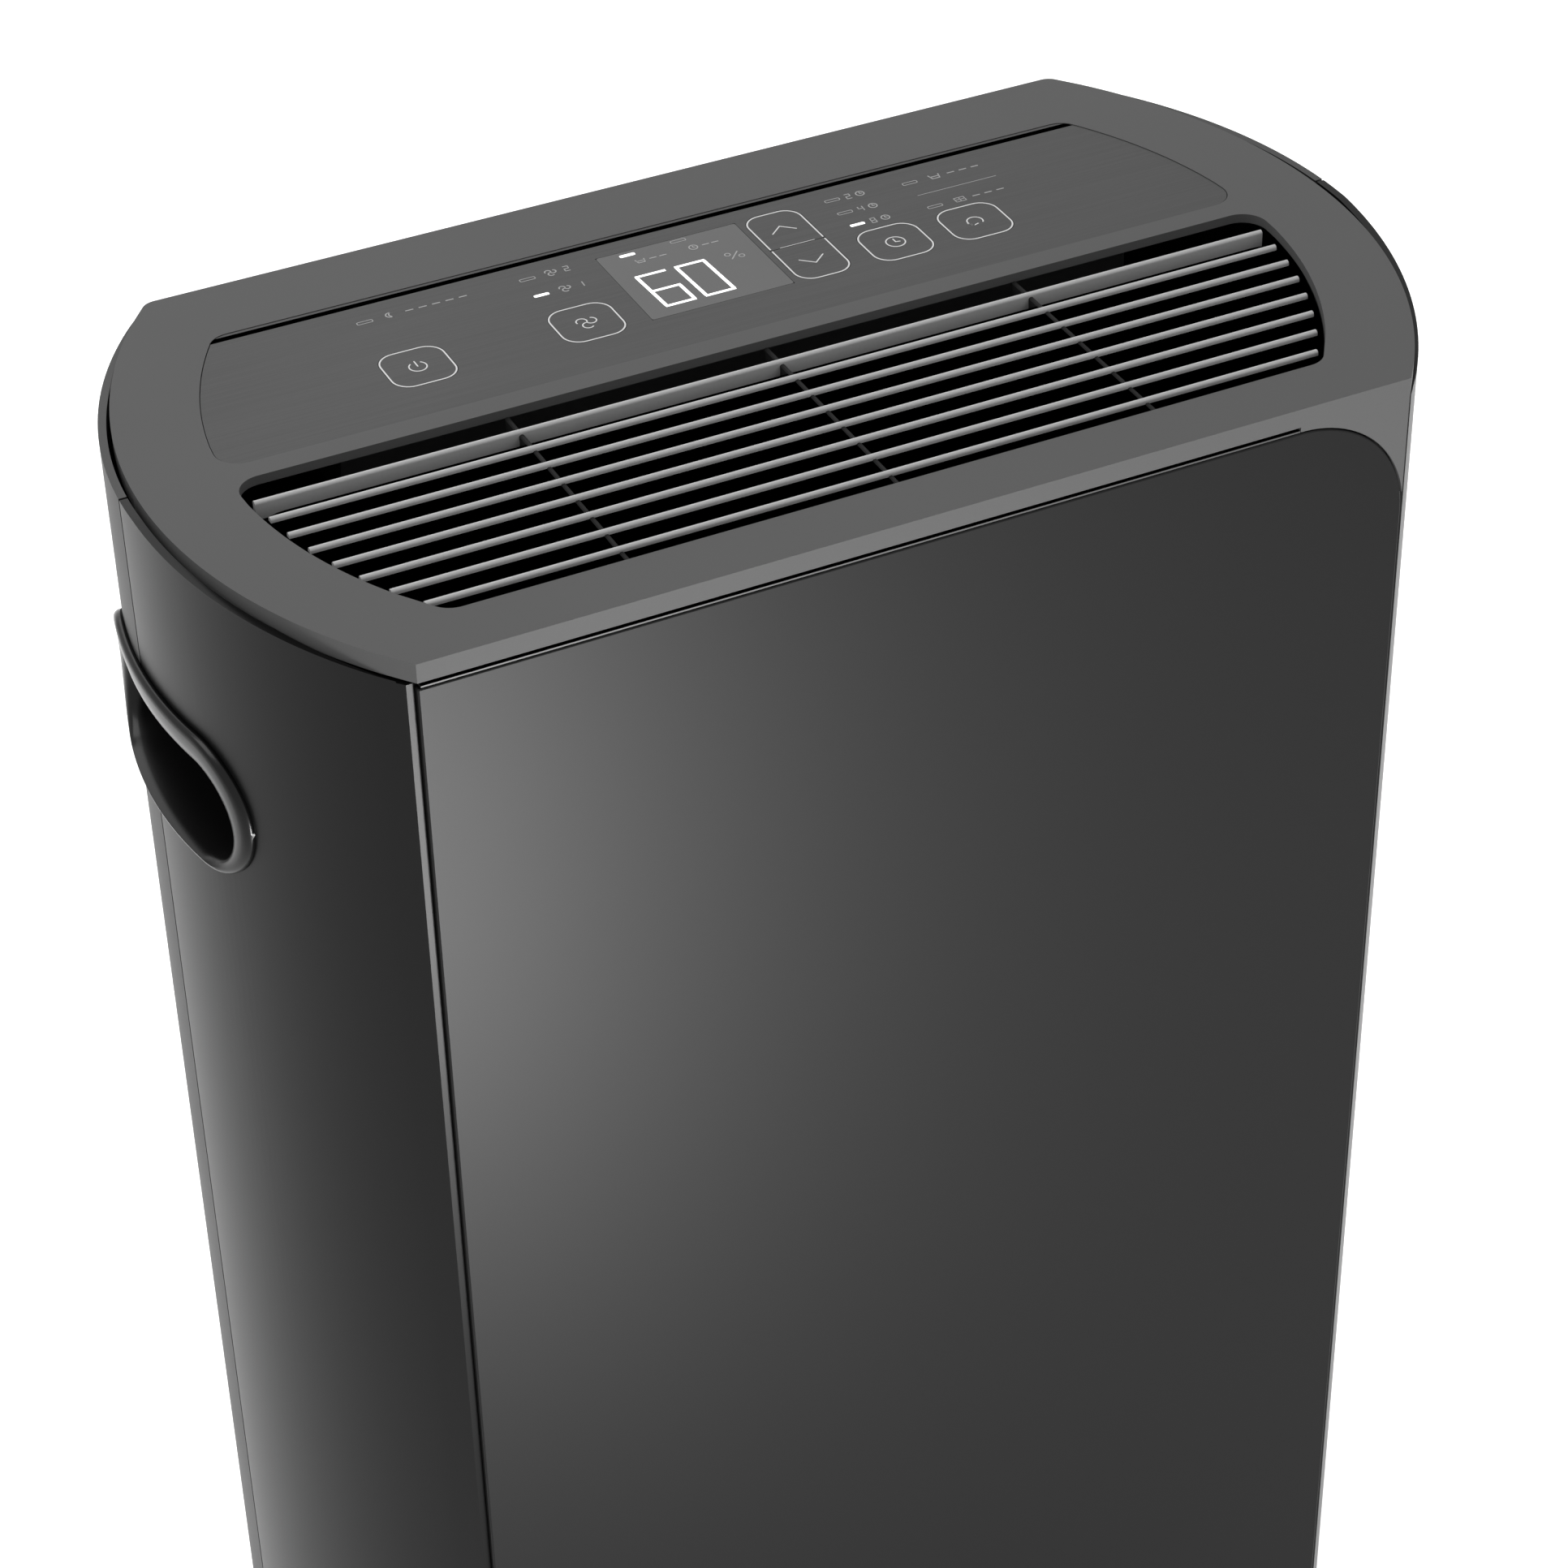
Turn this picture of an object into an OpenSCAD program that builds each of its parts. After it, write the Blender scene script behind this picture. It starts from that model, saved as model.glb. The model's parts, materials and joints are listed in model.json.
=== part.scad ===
// Upright dehumidifier: a refrigeration unit in a moulded cabinet on four swivel castors.
// Millimetres. The front faces -Y and the origin is on the floor under the middle of the body.

/* [Body] */
// Overall height, floor to top deck
body_h = 640; // [540:1:770]
// Width between the two front corners
front_w = 315; // [265:1:380]
// Depth, front face to back face
depth = 218; // [190:1:262]
// How far each side bows out past its corners
side_bulge = 43.5; // [40.5:0.5:52]
// How far each side of the top cover bows out
cover_bulge = 39; // [33:0.5:39.5]
// Wall of the moulded casings
wall = 2.5; // [2:0.1:3.2]
// Gap between the floor and the skirt of the base
ground_gap = 16; // [12:1:20]
// Top of the base pan above the floor
base_top = 46; // [44:1:52]
// Where the front and rear cabinets meet
seam_y = 8; // [4:1:8]

/* [Top cover] */
// Height of the band round the top cover
cover_t = 6.2; // [5.5:0.1:8]
// Shadow gap under that band
cover_gap = 1.4; // [1:0.1:2]
// Thickness of the top deck
deck_t = 3; // [2.6:0.1:4]
// Border of the deck outside the vent and the control panel
deck_border = 26.3; // [22:0.1:32]
// Corner radius of the vent and of the control panel
deck_corner = 8; // [6:0.5:9.5]
// Height that the side walls lose towards the front corners
side_slope = 6.5; // [4:0.5:8]

/* [Front] */
// Thickness of the front panel
panel_t = 2.6; // [2:0.1:3.2]
// Radius of the front panel's right-hand top corner
ear_r = 37.5; // [30:0.5:45]

/* [Outlet grille] */
// Distance between grille bars
bar_pitch = 10; // [8:0.5:12]
// Width of a grille bar
bar_w = 2; // [1.6:0.1:2.6]
// Distance between the cross ribs
rib_pitch = 84.5; // [70:0.5:95]

/* [Handles] */
// Length of a handle insert
handle_l = 110; // [92:1:132]
// Height of a handle insert
handle_h = 47; // [44:0.5:56]
// Top of a handle insert below the top deck
handle_drop = 58; // [50:1:70]
// How far the rim stands proud of the side
rim_proud = 2.8; // [2:0.1:3.4]
// Depth of the hand pocket
pocket_d = 30; // [24:1:34]

/* [Controls] */
// Width of a key
key_w = 21; // [17.5:0.5:22]
// Corner radius of a key
key_r = 6; // [4:0.5:7]
// Travel of a key
key_travel = 0.6; // [0.4:0.1:0.8]
// Length of the display window
window_w = 48; // [40:1:50]
// Depth of the display window
window_d = 42.5; // [36:0.5:46]

/* [Air path] */
// Diameter of the blower wheel
wheel_d = 190; // [158:1:216]
// Width of the blower wheel
wheel_w = 46; // [40:1:50]
// Diameter of the motor
motor_d = 80; // [66:1:92]
// Diameter of the motor shaft
shaft_d = 8; // [6:0.5:10]
// Depth of each coil
coil_d = 18; // [15:1:20]
// Outer diameter of the coil tubes
tube_d = 9.6; // [8:0.2:10]
// Distance between tube rows
tube_pitch = 34; // [30:1:36]

/* [Refrigeration and water] */
// Diameter of the compressor
compressor_d = 96; // [80:1:104]
// Height of the compressor shell
compressor_h = 138; // [115:1:160]
// Height of the bucket
bucket_h = 170; // [142:1:178]
// Wall of the bucket
bucket_wall = 2.5; // [2:0.1:3.2]
// Bore of the hose port
port_d = 13; // [11:0.5:14]
// Bore of the cord gland
cord_d = 7.2; // [6:0.1:8]

/* [Castors] */
// Diameter of a castor wheel
castor_d = 30; // [25:1:32]
// Width of a castor wheel
castor_w = 13; // [11:0.5:15]
// Trail of a castor
trail = 9; // [7.5:0.5:11]
// Diameter of a castor stem
stem_d = 8; // [7:0.5:9]

/* [Hidden] */
$fn = 96;

// Clearances
fit = 0.05;       // shaft in its bore
slip = 0.3;       // between pieces that move apart
seam = 0.5;       // joint line between the two cabinets
eps = 1;          // overshoot of a cut past a face

// Main planes
front_y = -depth / 2;
back_y = depth / 2;
half_body = front_w / 2 + side_bulge;
cabinet_z = base_top + slip;
rim_z = body_h - 1;
cover_z = body_h - cover_t;
under_z = cover_z - cover_gap;
deck_z = body_h - deck_t;
panel_top = under_z - 0.7;
panel_z = base_top + 1;
fascia_y = front_y + panel_t + 3.3;
inner_front_y = fascia_y + wall;
bulkhead_y = seam_y + 2;
bulkhead_t = 2.5;
bulkhead_back_y = bulkhead_y + bulkhead_t;

// Deck openings
vent_y0 = front_y + 20;
vent_y1 = 0;
panel_y0 = 8;
panel_y1 = back_y - 16;
bar_count = floor((vent_y1 - vent_y0 - 6) / bar_pitch);
bar_top = body_h - 1.5;
bar_end_gap = 3;
grille_z = body_h - 13;
ring_w = 4;

// Controls, from the top down
overlay_drop = 0.2;
overlay_t = 1.2;
overlay_z = body_h - overlay_drop - overlay_t;
key_gap = 0.2;
cap_t = 2.4;
key_y = 35;
power_x = -98;
fan_x = -43;
timer_x = 62;
reset_x = 90;
rocker_x = 34.5;
rocker_y = 48;
rocker_w = 19;
rocker_d = 44;
window_x = -1;
window_y = 48;
lens_size = [5, 1.4];
lens_at = [[-102.4, 66.7], [-48.5, 67.5], [-48.5, 56.6], [56.6, 68], [56.6, 59], [56.6, 50.4],
    [83.5, 66.6], [83.5, 49.3]];
board_z = body_h - 16;
board_t = 1.6;
switch_h = 3.5;
plunger_h = 1.2;
plunger_top = board_z + board_t + switch_h + plunger_h;
stem_low = plunger_top + key_travel + 0.1;
tray_z = body_h - 26;
tray_wall = 2;
tray_y0 = 14;
tray_y1 = back_y - 19;
tray_border = 25.1;
tray_x = max([for (p = lens_at) abs(p.x)]) + lens_size.x / 2 + tray_wall + tray_border;
post_at = [[-tray_x + 10, 24], [tray_x - 10, 24], [-tray_x + 10, 78], [tray_x - 10, 78]];

// Handle
handle_z = body_h - handle_drop - handle_h / 2;
lip_top = 12;
lip_low = 2.5;
lip_end = 10;
grip_h = handle_h - lip_top - lip_low;
grip_l = handle_l - 2 * lip_end;
grip_z = body_h - handle_drop - lip_top - grip_h / 2;
cup_wall = 2;
cup_x = half_body - pocket_d;

// Castors and base
castor_x = front_w / 2 - 22.5;
castor_y = depth / 2 - 37;
base_t = 3;
stem_top = base_top + 10;
socket_top = base_top + 12;
fork_top = base_top - base_t - slip;
axle_z = castor_d / 2;
axle_r = 2.5;
cheek_t = 2;
cheek_x = castor_w / 2 + 0.7;

// Water
bay_y = bulkhead_back_y + 7.5;
bucket_z = socket_top + 2;
bucket_x = front_w / 2 - 9.5;
bucket_top = bucket_z + bucket_h;
rail_x = bucket_x - 48;
shelf_z = bucket_top + 6;
shelf_t = 2.5;
tray_low = shelf_z + shelf_t;
tray_h = 26;
tray_top = tray_low + tray_h;
float_z = bucket_top - 22;
float_x = 60;
float_y = bay_y + 12;
port_x = front_w / 2 - 42.5;
port_z = tray_low + 13;
door_w = 34;
door_low = port_z - 12;
door_high = port_z + 14;
hinge_y = back_y - 2.2;
hinge_z = door_high - 2.2;
gland_x = -port_x;
gland_r = cord_d / 2 + 3.4;

// Coils
filter_t = 6;
filter_z0 = tray_top + 10;
filter_z1 = body_h - 68;
filter_x = front_w / 2 - 26;
coil_back_y = back_y - wall - filter_t + 2;
coil_front_y = coil_back_y - 2 * coil_d - 26;
frame_x = front_w / 2 - 21.5;
frame_z0 = tray_top + 2;
frame_z1 = body_h - 60;
frame_t = 2;
fin_x = front_w / 2 - 53.5;
fin_pitch = 10;
fin_t = 0.8;
row_z = frame_z0 + 32;
rows = 2 * floor((frame_z1 - row_z - 10) / tube_pitch / 2);
evaporator_y = coil_back_y - 5.5 - coil_d / 2;
condenser_y = evaporator_y - coil_d - 14;
row_top = row_z + (rows - 1) * tube_pitch;
screw_x = frame_x + 6;
screw_zs = [frame_z0 + 20, frame_z1 - 18];
screw_r = 1.95;

// Compressor and blower
compressor_x = -front_w / 2 + 82;
compressor_y = inner_front_y + compressor_d / 2 + 6.6;
grommet_h = 16;
compressor_z = base_top + grommet_h;
compressor_top = compressor_z + 3 + compressor_h;
foot_r = compressor_d / 2 + 10;
scroll_r = wheel_d / 2 + 23;
scroll_y0 = bulkhead_y - wheel_w - 12.7;
scroll_t = 2;
blower_z = compressor_top + 55 + scroll_r;
neck_top = blower_z + scroll_r + 10;
wheel_y0 = scroll_y0 + 6;
inlet_r = wheel_d / 2 - 15;
motor_y0 = inner_front_y + 2.6;
accumulator_r = 18;
accumulator_x = compressor_x - compressor_d / 2 - accumulator_r - 0.5;
accumulator_y = -30;
accumulator_z = compressor_z + 28;
accumulator_h = 90;
pipe_d = 8;
cap_d = 4;
suction_x = -frame_x - 23;
riser_x = -frame_x - 12;
discharge_x = accumulator_x + 17;
discharge_y = condenser_y - 22;
discharge_z = compressor_top + 48;
gas_port = [compressor_x + 20, compressor_y - 14];

// Radius and centre of a side arc that passes through both of its corners
function arc_r(bulge) = (bulge * bulge + depth * depth / 4) / (2 * bulge);
function arc_x(bulge) = front_w / 2 + bulge - arc_r(bulge);
function half_at(bulge, y, inset) = arc_x(bulge) + sqrt(pow(arc_r(bulge) - inset, 2) - y * y);

// ---- Shared shapes ----

module both_sides() {
    children();
    mirror([1, 0, 0]) children();
}

module box(low, high) {
    translate(low) cube(high - low);
}

module slab(z0, z1) {
    translate([0, 0, z0]) linear_extrude(z1 - z0) children();
}

// Extrudes an outline drawn in X and Z from y0 to y1
module along_y(y0, y1) {
    translate([0, y1, 0]) rotate([90, 0, 0]) linear_extrude(y1 - y0) children();
}

// Extrudes an outline drawn in Y and Z from x0 to x1
module along_x(x0, x1) {
    translate([x0, 0, 0]) rotate([90, 0, 90]) linear_extrude(x1 - x0) children();
}

// The whole height between two planes of constant Y
module band(y0, y1) {
    box([-front_w, y0, -eps], [front_w, y1, body_h + eps]);
}

module rod_y(x, z, r, y0, y1) {
    translate([x, y1, z]) rotate([90, 0, 0]) cylinder(r = r, h = y1 - y0);
}

module rod_x(y, z, r, x0, x1) {
    translate([x0, y, z]) rotate([0, 90, 0]) cylinder(r = r, h = x1 - x0);
}

module rounded(w, d, r) {
    square([w - 2 * r, d], center = true);
    square([w, d - 2 * r], center = true);
    for (x = [-1, 1], y = [-1, 1]) translate([x * (w / 2 - r), y * (d / 2 - r)]) circle(r);
}

module stadium(l, h) {
    square([l - h, h], center = true);
    for (side = [-1, 1]) translate([side * (l - h) / 2, 0]) circle(h / 2);
}

// Round pipe through a list of points, with ball elbows
module pipe(points, d) {
    for (i = [0 : len(points) - 2]) {
        step = points[i + 1] - points[i];
        turn = [0, acos(step.z / norm(step)), atan2(step.y, step.x)];
        translate(points[i]) rotate(turn) cylinder(d = d, h = norm(step));
    }
    for (i = [1 : 1 : len(points) - 2]) translate(points[i]) sphere(d = d);
}

// Everything inboard of the right-hand side arc
module side_reach(bulge, inset) {
    translate([arc_x(bulge), 0]) circle(arc_r(bulge) - inset);
    translate([arc_x(bulge) - 2 * front_w, -depth]) square([2 * front_w, 2 * depth]);
}

// Flat front and back, one arc on each side
module plan(bulge, inset = 0) {
    intersection() {
        side_reach(bulge, inset);
        mirror([1, 0]) side_reach(bulge, inset);
        square([4 * front_w, depth - 2 * inset], center = true);
    }
}

// Sliver outside a fillet between the straight edge y = edge and the right-hand arc
module corner_sliver(edge, inward, inset, r) {
    big_r = arc_r(cover_bulge) - inset;
    cx = arc_x(cover_bulge);
    yc = edge + inward * r;
    xc = cx + sqrt(pow(big_r - r, 2) - yc * yc);
    out = (big_r + eps) / (big_r - r);
    tangent = [cx + (xc - cx) * out, yc * out];
    difference() {
        polygon([[xc, yc], [xc, edge - inward * eps], [tangent.x + 2 * r, edge - inward * eps], tangent]);
        translate([xc, yc]) circle(r);
    }
}

// A field of the deck: two straight edges, two arcs that follow the cover, four fillets
module deck_field(y0, y1, inset, r) {
    difference() {
        intersection() {
            side_reach(cover_bulge, inset);
            mirror([1, 0]) side_reach(cover_bulge, inset);
            translate([-front_w, y0]) square([2 * front_w, y1 - y0]);
        }
        for (side = [0, 1]) mirror([side, 0]) {
            corner_sliver(y0, 1, inset, r);
            corner_sliver(y1, -1, inset, r);
        }
    }
}

module vent_field(grow = 0) {
    deck_field(vent_y0 - grow, vent_y1 + grow, deck_border - grow, deck_corner + grow);
}

module control_field(shrink = 0) {
    deck_field(panel_y0 + shrink, panel_y1 - shrink, deck_border + shrink, deck_corner - shrink);
}

// ---- Casings ----

module castor_places() {
    for (x = [-1, 1], y = [-1, 1]) translate([x * castor_x, y * castor_y, 0]) children();
}

module compressor_places() {
    for (a = [0, 135, 225]) translate([compressor_x, compressor_y, 0]) rotate(a) translate([foot_r, 0, 0])
        children();
}

module base_pan() {
    color("#1c1c1e") difference() {
        union() {
            slab(ground_gap, base_top) plan(side_bulge, 1);
            castor_places() translate([0, 0, base_top - base_t]) cylinder(r = 7, h = base_t + 12);
            both_sides() box([rail_x - 4, bay_y, base_top - eps], [rail_x + 4, back_y - 6, bucket_z]);
            compressor_places() translate([0, 0, base_top - eps]) cylinder(r = 3, h = grommet_h + 11);
        }
        slab(ground_gap - eps, base_top - base_t) plan(side_bulge, 1 + wall);
        castor_places() translate([0, 0, base_top - base_t - eps])
            cylinder(r = stem_d / 2 + fit, h = stem_top - base_top + base_t + eps);
    }
}

// Space taken by the top cover, and the slope of the side walls' top edge
module cover_space() {
    slab(under_z, body_h + eps) plan(cover_bulge, -0.4);
    along_x(-front_w, front_w) polygon([[front_y - eps, rim_z - side_slope], [-5, rim_z],
        [-5, body_h + eps], [front_y - eps, body_h + eps]]);
}

module handle_hole() {
    along_x(cup_x - 10, half_body + 10) translate([0, grip_z])
        stadium(grip_l + 2 * (cup_wall + slip), grip_h + 2 * (cup_wall + slip));
}

module cabinet_shell() {
    difference() {
        slab(cabinet_z, rim_z) difference() {
            plan(side_bulge);
            plan(side_bulge, wall);
        }
        cover_space();
        both_sides() handle_hole();
    }
}

module front_cabinet() {
    color("#161618") {
        difference() {
            cabinet_shell();
            band(front_y - eps, front_y + panel_t + slip);
            band(seam_y - seam / 2, back_y + eps);
        }
        intersection() {
            slab(cabinet_z, under_z - 2) plan(side_bulge, wall);
            band(fascia_y, inner_front_y);
        }
    }
}

module door_opening(grow) {
    half = door_w / 2 + grow;
    box([port_x - half, 0, door_low - grow], [port_x + half, depth, door_high + grow]);
}

module rear_cabinet() {
    color("#1a1a1c") difference() {
        union() {
            difference() {
                cabinet_shell();
                band(front_y - eps, seam_y + seam / 2);
            }
            intersection() {
                door_opening(3);
                band(back_y - wall - 3, back_y - 1);
            }
        }
        box([-filter_x - 0.5, 0, filter_z0 - 0.5], [filter_x + 0.5, depth, filter_z1 + 0.5]);
        box([-bucket_x - 3, 0, base_top], [bucket_x + 3, depth, bucket_top + 2]);
        door_opening(0);
        rod_x(hinge_y, hinge_z, 1 + fit, port_x - door_w / 2 - 2.4, port_x + door_w / 2 + 2.4);
        rod_y(gland_x, port_z, gland_r, 0, depth);
        for (x = [-1, 1], z = screw_zs) {
            rod_y(x * screw_x, z, screw_r + 0.15, back_y - 4, back_y + eps);
            rod_y(x * screw_x, z, 4.2, back_y - 1.5, back_y + eps);
        }
    }
}

module key_outline(x, grow = 0) {
    translate([x, key_y]) rounded(key_w + 2 * grow, key_w + 2 * grow, key_r + grow);
}

module rocker_outline(grow = 0) {
    translate([rocker_x, rocker_y]) rounded(rocker_w + 2 * grow, rocker_d + 2 * grow, key_r + grow);
}

module key_holes() {
    for (x = [power_x, fan_x, timer_x, reset_x]) key_outline(x, key_gap);
    rocker_outline(key_gap);
}

module window_outline(grow = 0) {
    translate([window_x, window_y]) square([window_w + 2 * grow, window_d + 2 * grow], center = true);
}

module lens_outlines() {
    for (p = lens_at) translate(p) square(lens_size, center = true);
}

// Fills the corner of the front face beyond the front panel's rounded corner
module ear() {
    corner = [front_w / 2 - ear_r, panel_top - ear_r];
    along_y(front_y, front_y + panel_t) difference() {
        translate(corner) square([ear_r, cover_z + eps - corner.y]);
        translate(corner) circle(ear_r + 0.5);
    }
}

module top_cover() {
    color("#5c5c5e") difference() {
        union() {
            slab(cover_z, body_h) plan(cover_bulge);
            ear();
        }
        slab(cover_z - eps, deck_z) plan(cover_bulge, 3);
        slab(cover_z - eps, body_h + eps) vent_field();
        slab(overlay_z, body_h + eps) control_field();
        slab(deck_z - eps, body_h) {
            key_holes();
            window_outline(-2);
            lens_outlines();
        }
    }
}

module outlet_grille() {
    low_z = grille_z + 6;
    color("#8b8b8d") {
        slab(grille_z, deck_z) difference() {
            vent_field(ring_w);
            vent_field();
        }
        for (i = [1 : bar_count]) {
            y = vent_y1 - i * bar_pitch;
            full = half_at(cover_bulge, y, deck_border) + 1;
            seen = full - 1 - bar_end_gap;
            box([-full, y - bar_w / 2, grille_z], [full, y + bar_w / 2, low_z]);
            box([-seen, y - bar_w / 2, low_z - eps], [seen, y + bar_w / 2, bar_top - bar_w / 2]);
            rod_x(y, bar_top - bar_w / 2, bar_w / 2, -seen, seen);
        }
        for (i = [-1 : 1]) {
            x = i * rib_pitch;
            box([x - 0.8, vent_y0 - 1, grille_z], [x + 0.8, vent_y1 + 1, low_z]);
            box([x - 0.8, vent_y0 + 0.2, low_z - eps], [x + 0.8, vent_y1 - 0.2, bar_top - 1.2]);
        }
    }
}

module front_panel() {
    corner = [front_w / 2 - ear_r, panel_top - ear_r];
    color("#3a3a3c") difference() {
        intersection() {
            slab(panel_z, panel_top) plan(side_bulge);
            band(front_y, front_y + panel_t);
        }
        along_y(front_y - eps, front_y + panel_t + eps) difference() {
            translate(corner) square(2 * ear_r);
            translate(corner) circle(ear_r);
        }
    }
}

module front_carrier() {
    color("#2a2a2c") {
        difference() {
            intersection() {
                slab(panel_z + 2, under_z) plan(side_bulge, wall + slip);
                band(front_y + panel_t, fascia_y);
            }
            box([-front_w / 2 + 28, front_y, panel_z + 30], [front_w / 2 - 28, 0, panel_top - 50]);
        }
        box([-front_w / 2 + 1, front_y + 0.3, under_z - 0.5], [front_w / 2 - ear_r, fascia_y, under_z]);
    }
}

// Curved slice of the left-hand side, between two offsets from the body's side
module side_slice(inner, outer) {
    slab(0, body_h) translate([-arc_x(side_bulge), 0]) difference() {
        circle(arc_r(side_bulge) + outer);
        circle(arc_r(side_bulge) + inner);
    }
}

module handle() {
    outside = -half_body - 10;
    color("#0d0d0e") difference() {
        union() {
            intersection() {
                along_x(outside, 0) translate([0, handle_z]) stadium(handle_l, handle_h);
                side_slice(0, rim_proud);
            }
            intersection() {
                along_x(outside, -cup_x + cup_wall) translate([0, grip_z])
                    stadium(grip_l + 2 * cup_wall, grip_h + 2 * cup_wall);
                slab(0, body_h) translate([-arc_x(side_bulge), 0]) circle(arc_r(side_bulge) + 0.5);
            }
        }
        along_x(outside, -cup_x) translate([0, grip_z]) stadium(grip_l, grip_h);
    }
}

module handle_left() {
    handle();
}

module handle_right() {
    mirror([1, 0, 0]) handle();
}

// ---- Controls ----

module control_overlay() {
    color("#464648") slab(overlay_z, overlay_z + overlay_t) difference() {
        control_field(0.2);
        key_holes();
        window_outline(0.1);
        lens_outlines();
    }
}

module display_window() {
    color("#333335") slab(overlay_z, overlay_z + overlay_t) window_outline();
}

module indicator_lenses() {
    color("#c8c8ca") slab(board_z + 8, overlay_z + overlay_t) lens_outlines();
}

module key_stem(x, y) {
    translate([x, y, stem_low]) cylinder(r = 2.5, h = body_h - overlay_drop - cap_t / 2 - stem_low);
}

module square_key(x) {
    color("#48484a") {
        slab(body_h - overlay_drop - cap_t, body_h - overlay_drop) key_outline(x);
        key_stem(x, key_y);
    }
}

// One half of the rocker, on the side given by the sign
module rocker_key(side) {
    color("#48484a") {
        slab(body_h - overlay_drop - cap_t, body_h - overlay_drop) intersection() {
            rocker_outline();
            translate([rocker_x, rocker_y + side * (rocker_d / 2 + key_gap / 2)])
                square([2 * rocker_w, rocker_d], center = true);
        }
        key_stem(rocker_x, rocker_y + side * rocker_d / 4);
    }
}

module key_power() {
    square_key(power_x);
}

module key_fan() {
    square_key(fan_x);
}

module key_up() {
    rocker_key(1);
}

module key_down() {
    rocker_key(-1);
}

module key_timer() {
    square_key(timer_x);
}

module key_reset() {
    square_key(reset_x);
}

module control_tray() {
    color("#2b2b2d") {
        difference() {
            box([-tray_x, tray_y0, tray_z], [tray_x, tray_y1, deck_z]);
            box([-tray_x + tray_wall, tray_y0 + tray_wall, tray_z + tray_wall],
                [tray_x - tray_wall, tray_y1 - tray_wall, body_h]);
        }
        for (p = post_at) translate([p.x, p.y, tray_z + tray_wall - eps])
            cylinder(r = 3, h = board_z - tray_z - tray_wall + eps);
    }
}

module tact_switch(x, y) {
    box([x - 3, y - 3, board_z + board_t - 0.1], [x + 3, y + 3, board_z + board_t + switch_h]);
    translate([x, y, plunger_top - plunger_h - 0.1]) cylinder(r = 1.7, h = plunger_h + 0.1);
}

module control_board() {
    color("#1f5a35") {
        difference() {
            box([-tray_x + 4, tray_y0 + 6, board_z], [tray_x - 4, tray_y1 - 6, board_z + board_t]);
            for (p = post_at) translate([p.x, p.y, board_z - eps]) cylinder(r = 1.5, h = board_t + 2 * eps);
        }
        for (x = [power_x, fan_x, timer_x, reset_x]) tact_switch(x, key_y);
        for (side = [-1, 1]) tact_switch(rocker_x, rocker_y + side * rocker_d / 4);
        for (p = lens_at) if (abs(p.x - window_x) > window_w / 2)
            box([p.x - 2, p.y - 1, board_z + board_t - 0.1], [p.x + 2, p.y + 1, board_z + 7.7]);
    }
}

module display_module() {
    color("#222224") box([window_x - window_w / 2 + 3, window_y - window_d / 2 + 3, board_z + board_t],
        [window_x + window_w / 2 - 3, window_y + window_d / 2 - 3, overlay_z - slip]);
}

// ---- Intake and coils ----

module filter_frame() {
    y0 = back_y - filter_t;
    y1 = back_y - 0.2;
    louvres = floor((filter_z1 - filter_z0 - 24) / 14);
    step = (filter_z1 - filter_z0 - 20) / (louvres + 1);
    color("#1d1d1f") {
        difference() {
            box([-filter_x, y0, filter_z0], [filter_x, y1, filter_z1]);
            box([-filter_x + 10, y0 - eps, filter_z0 + 10], [filter_x - 10, y1 + eps, filter_z1 - 10]);
        }
        for (i = [1 : louvres]) {
            z = filter_z0 + 10 + i * step;
            box([-filter_x + 9, y1 - 3.8, z - 1.5], [filter_x - 9, y1 - 0.4, z + 1.5]);
        }
        for (x = [-1, 0, 1]) box([x * filter_x / 2 - 1.5, y0 + 2, filter_z0 + 9],
            [x * filter_x / 2 + 1.5, y1 - 0.4, filter_z1 - 9]);
    }
}

module filter_mesh() {
    color("#b9bcc0") box([-filter_x + 10, back_y - filter_t, filter_z0 + 10],
        [filter_x - 10, back_y - filter_t + 1, filter_z1 - 10]);
}

module fin_pack(y) {
    count = floor(2 * fin_x / fin_pitch);
    color("#b4b8bc") for (i = [0 : count]) {
        x = (i - count / 2) * fin_pitch;
        difference() {
            box([x - fin_t / 2, y - coil_d / 2, row_z - 17],
                [x + fin_t / 2, y + coil_d / 2, row_top + 17]);
            for (k = [0 : rows - 1]) rod_x(y, row_z + k * tube_pitch, tube_d / 2, x - eps, x + eps);
        }
    }
}

// Straight tubes and the return bends that join them into one serpentine
module serpentine(y) {
    color("#b4703c") {
        for (k = [0 : rows - 1]) rod_x(y, row_z + k * tube_pitch, tube_d / 2, -fin_x - 4, fin_x + 4);
        for (k = [0 : rows - 2]) {
            side = k % 2 == 0 ? 1 : -1;
            translate([side * (fin_x + 4), y, row_z + (k + 0.5) * tube_pitch]) rotate([90, 0, 0])
                rotate(side > 0 ? -90 : 90) rotate_extrude(angle = 180) translate([tube_pitch / 2, 0])
                circle(tube_d / 2);
        }
    }
}

module evaporator_fins() {
    fin_pack(evaporator_y);
}

module evaporator_tubes() {
    serpentine(evaporator_y);
}

module condenser_fins() {
    fin_pack(condenser_y);
}

module condenser_tubes() {
    serpentine(condenser_y);
}

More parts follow.
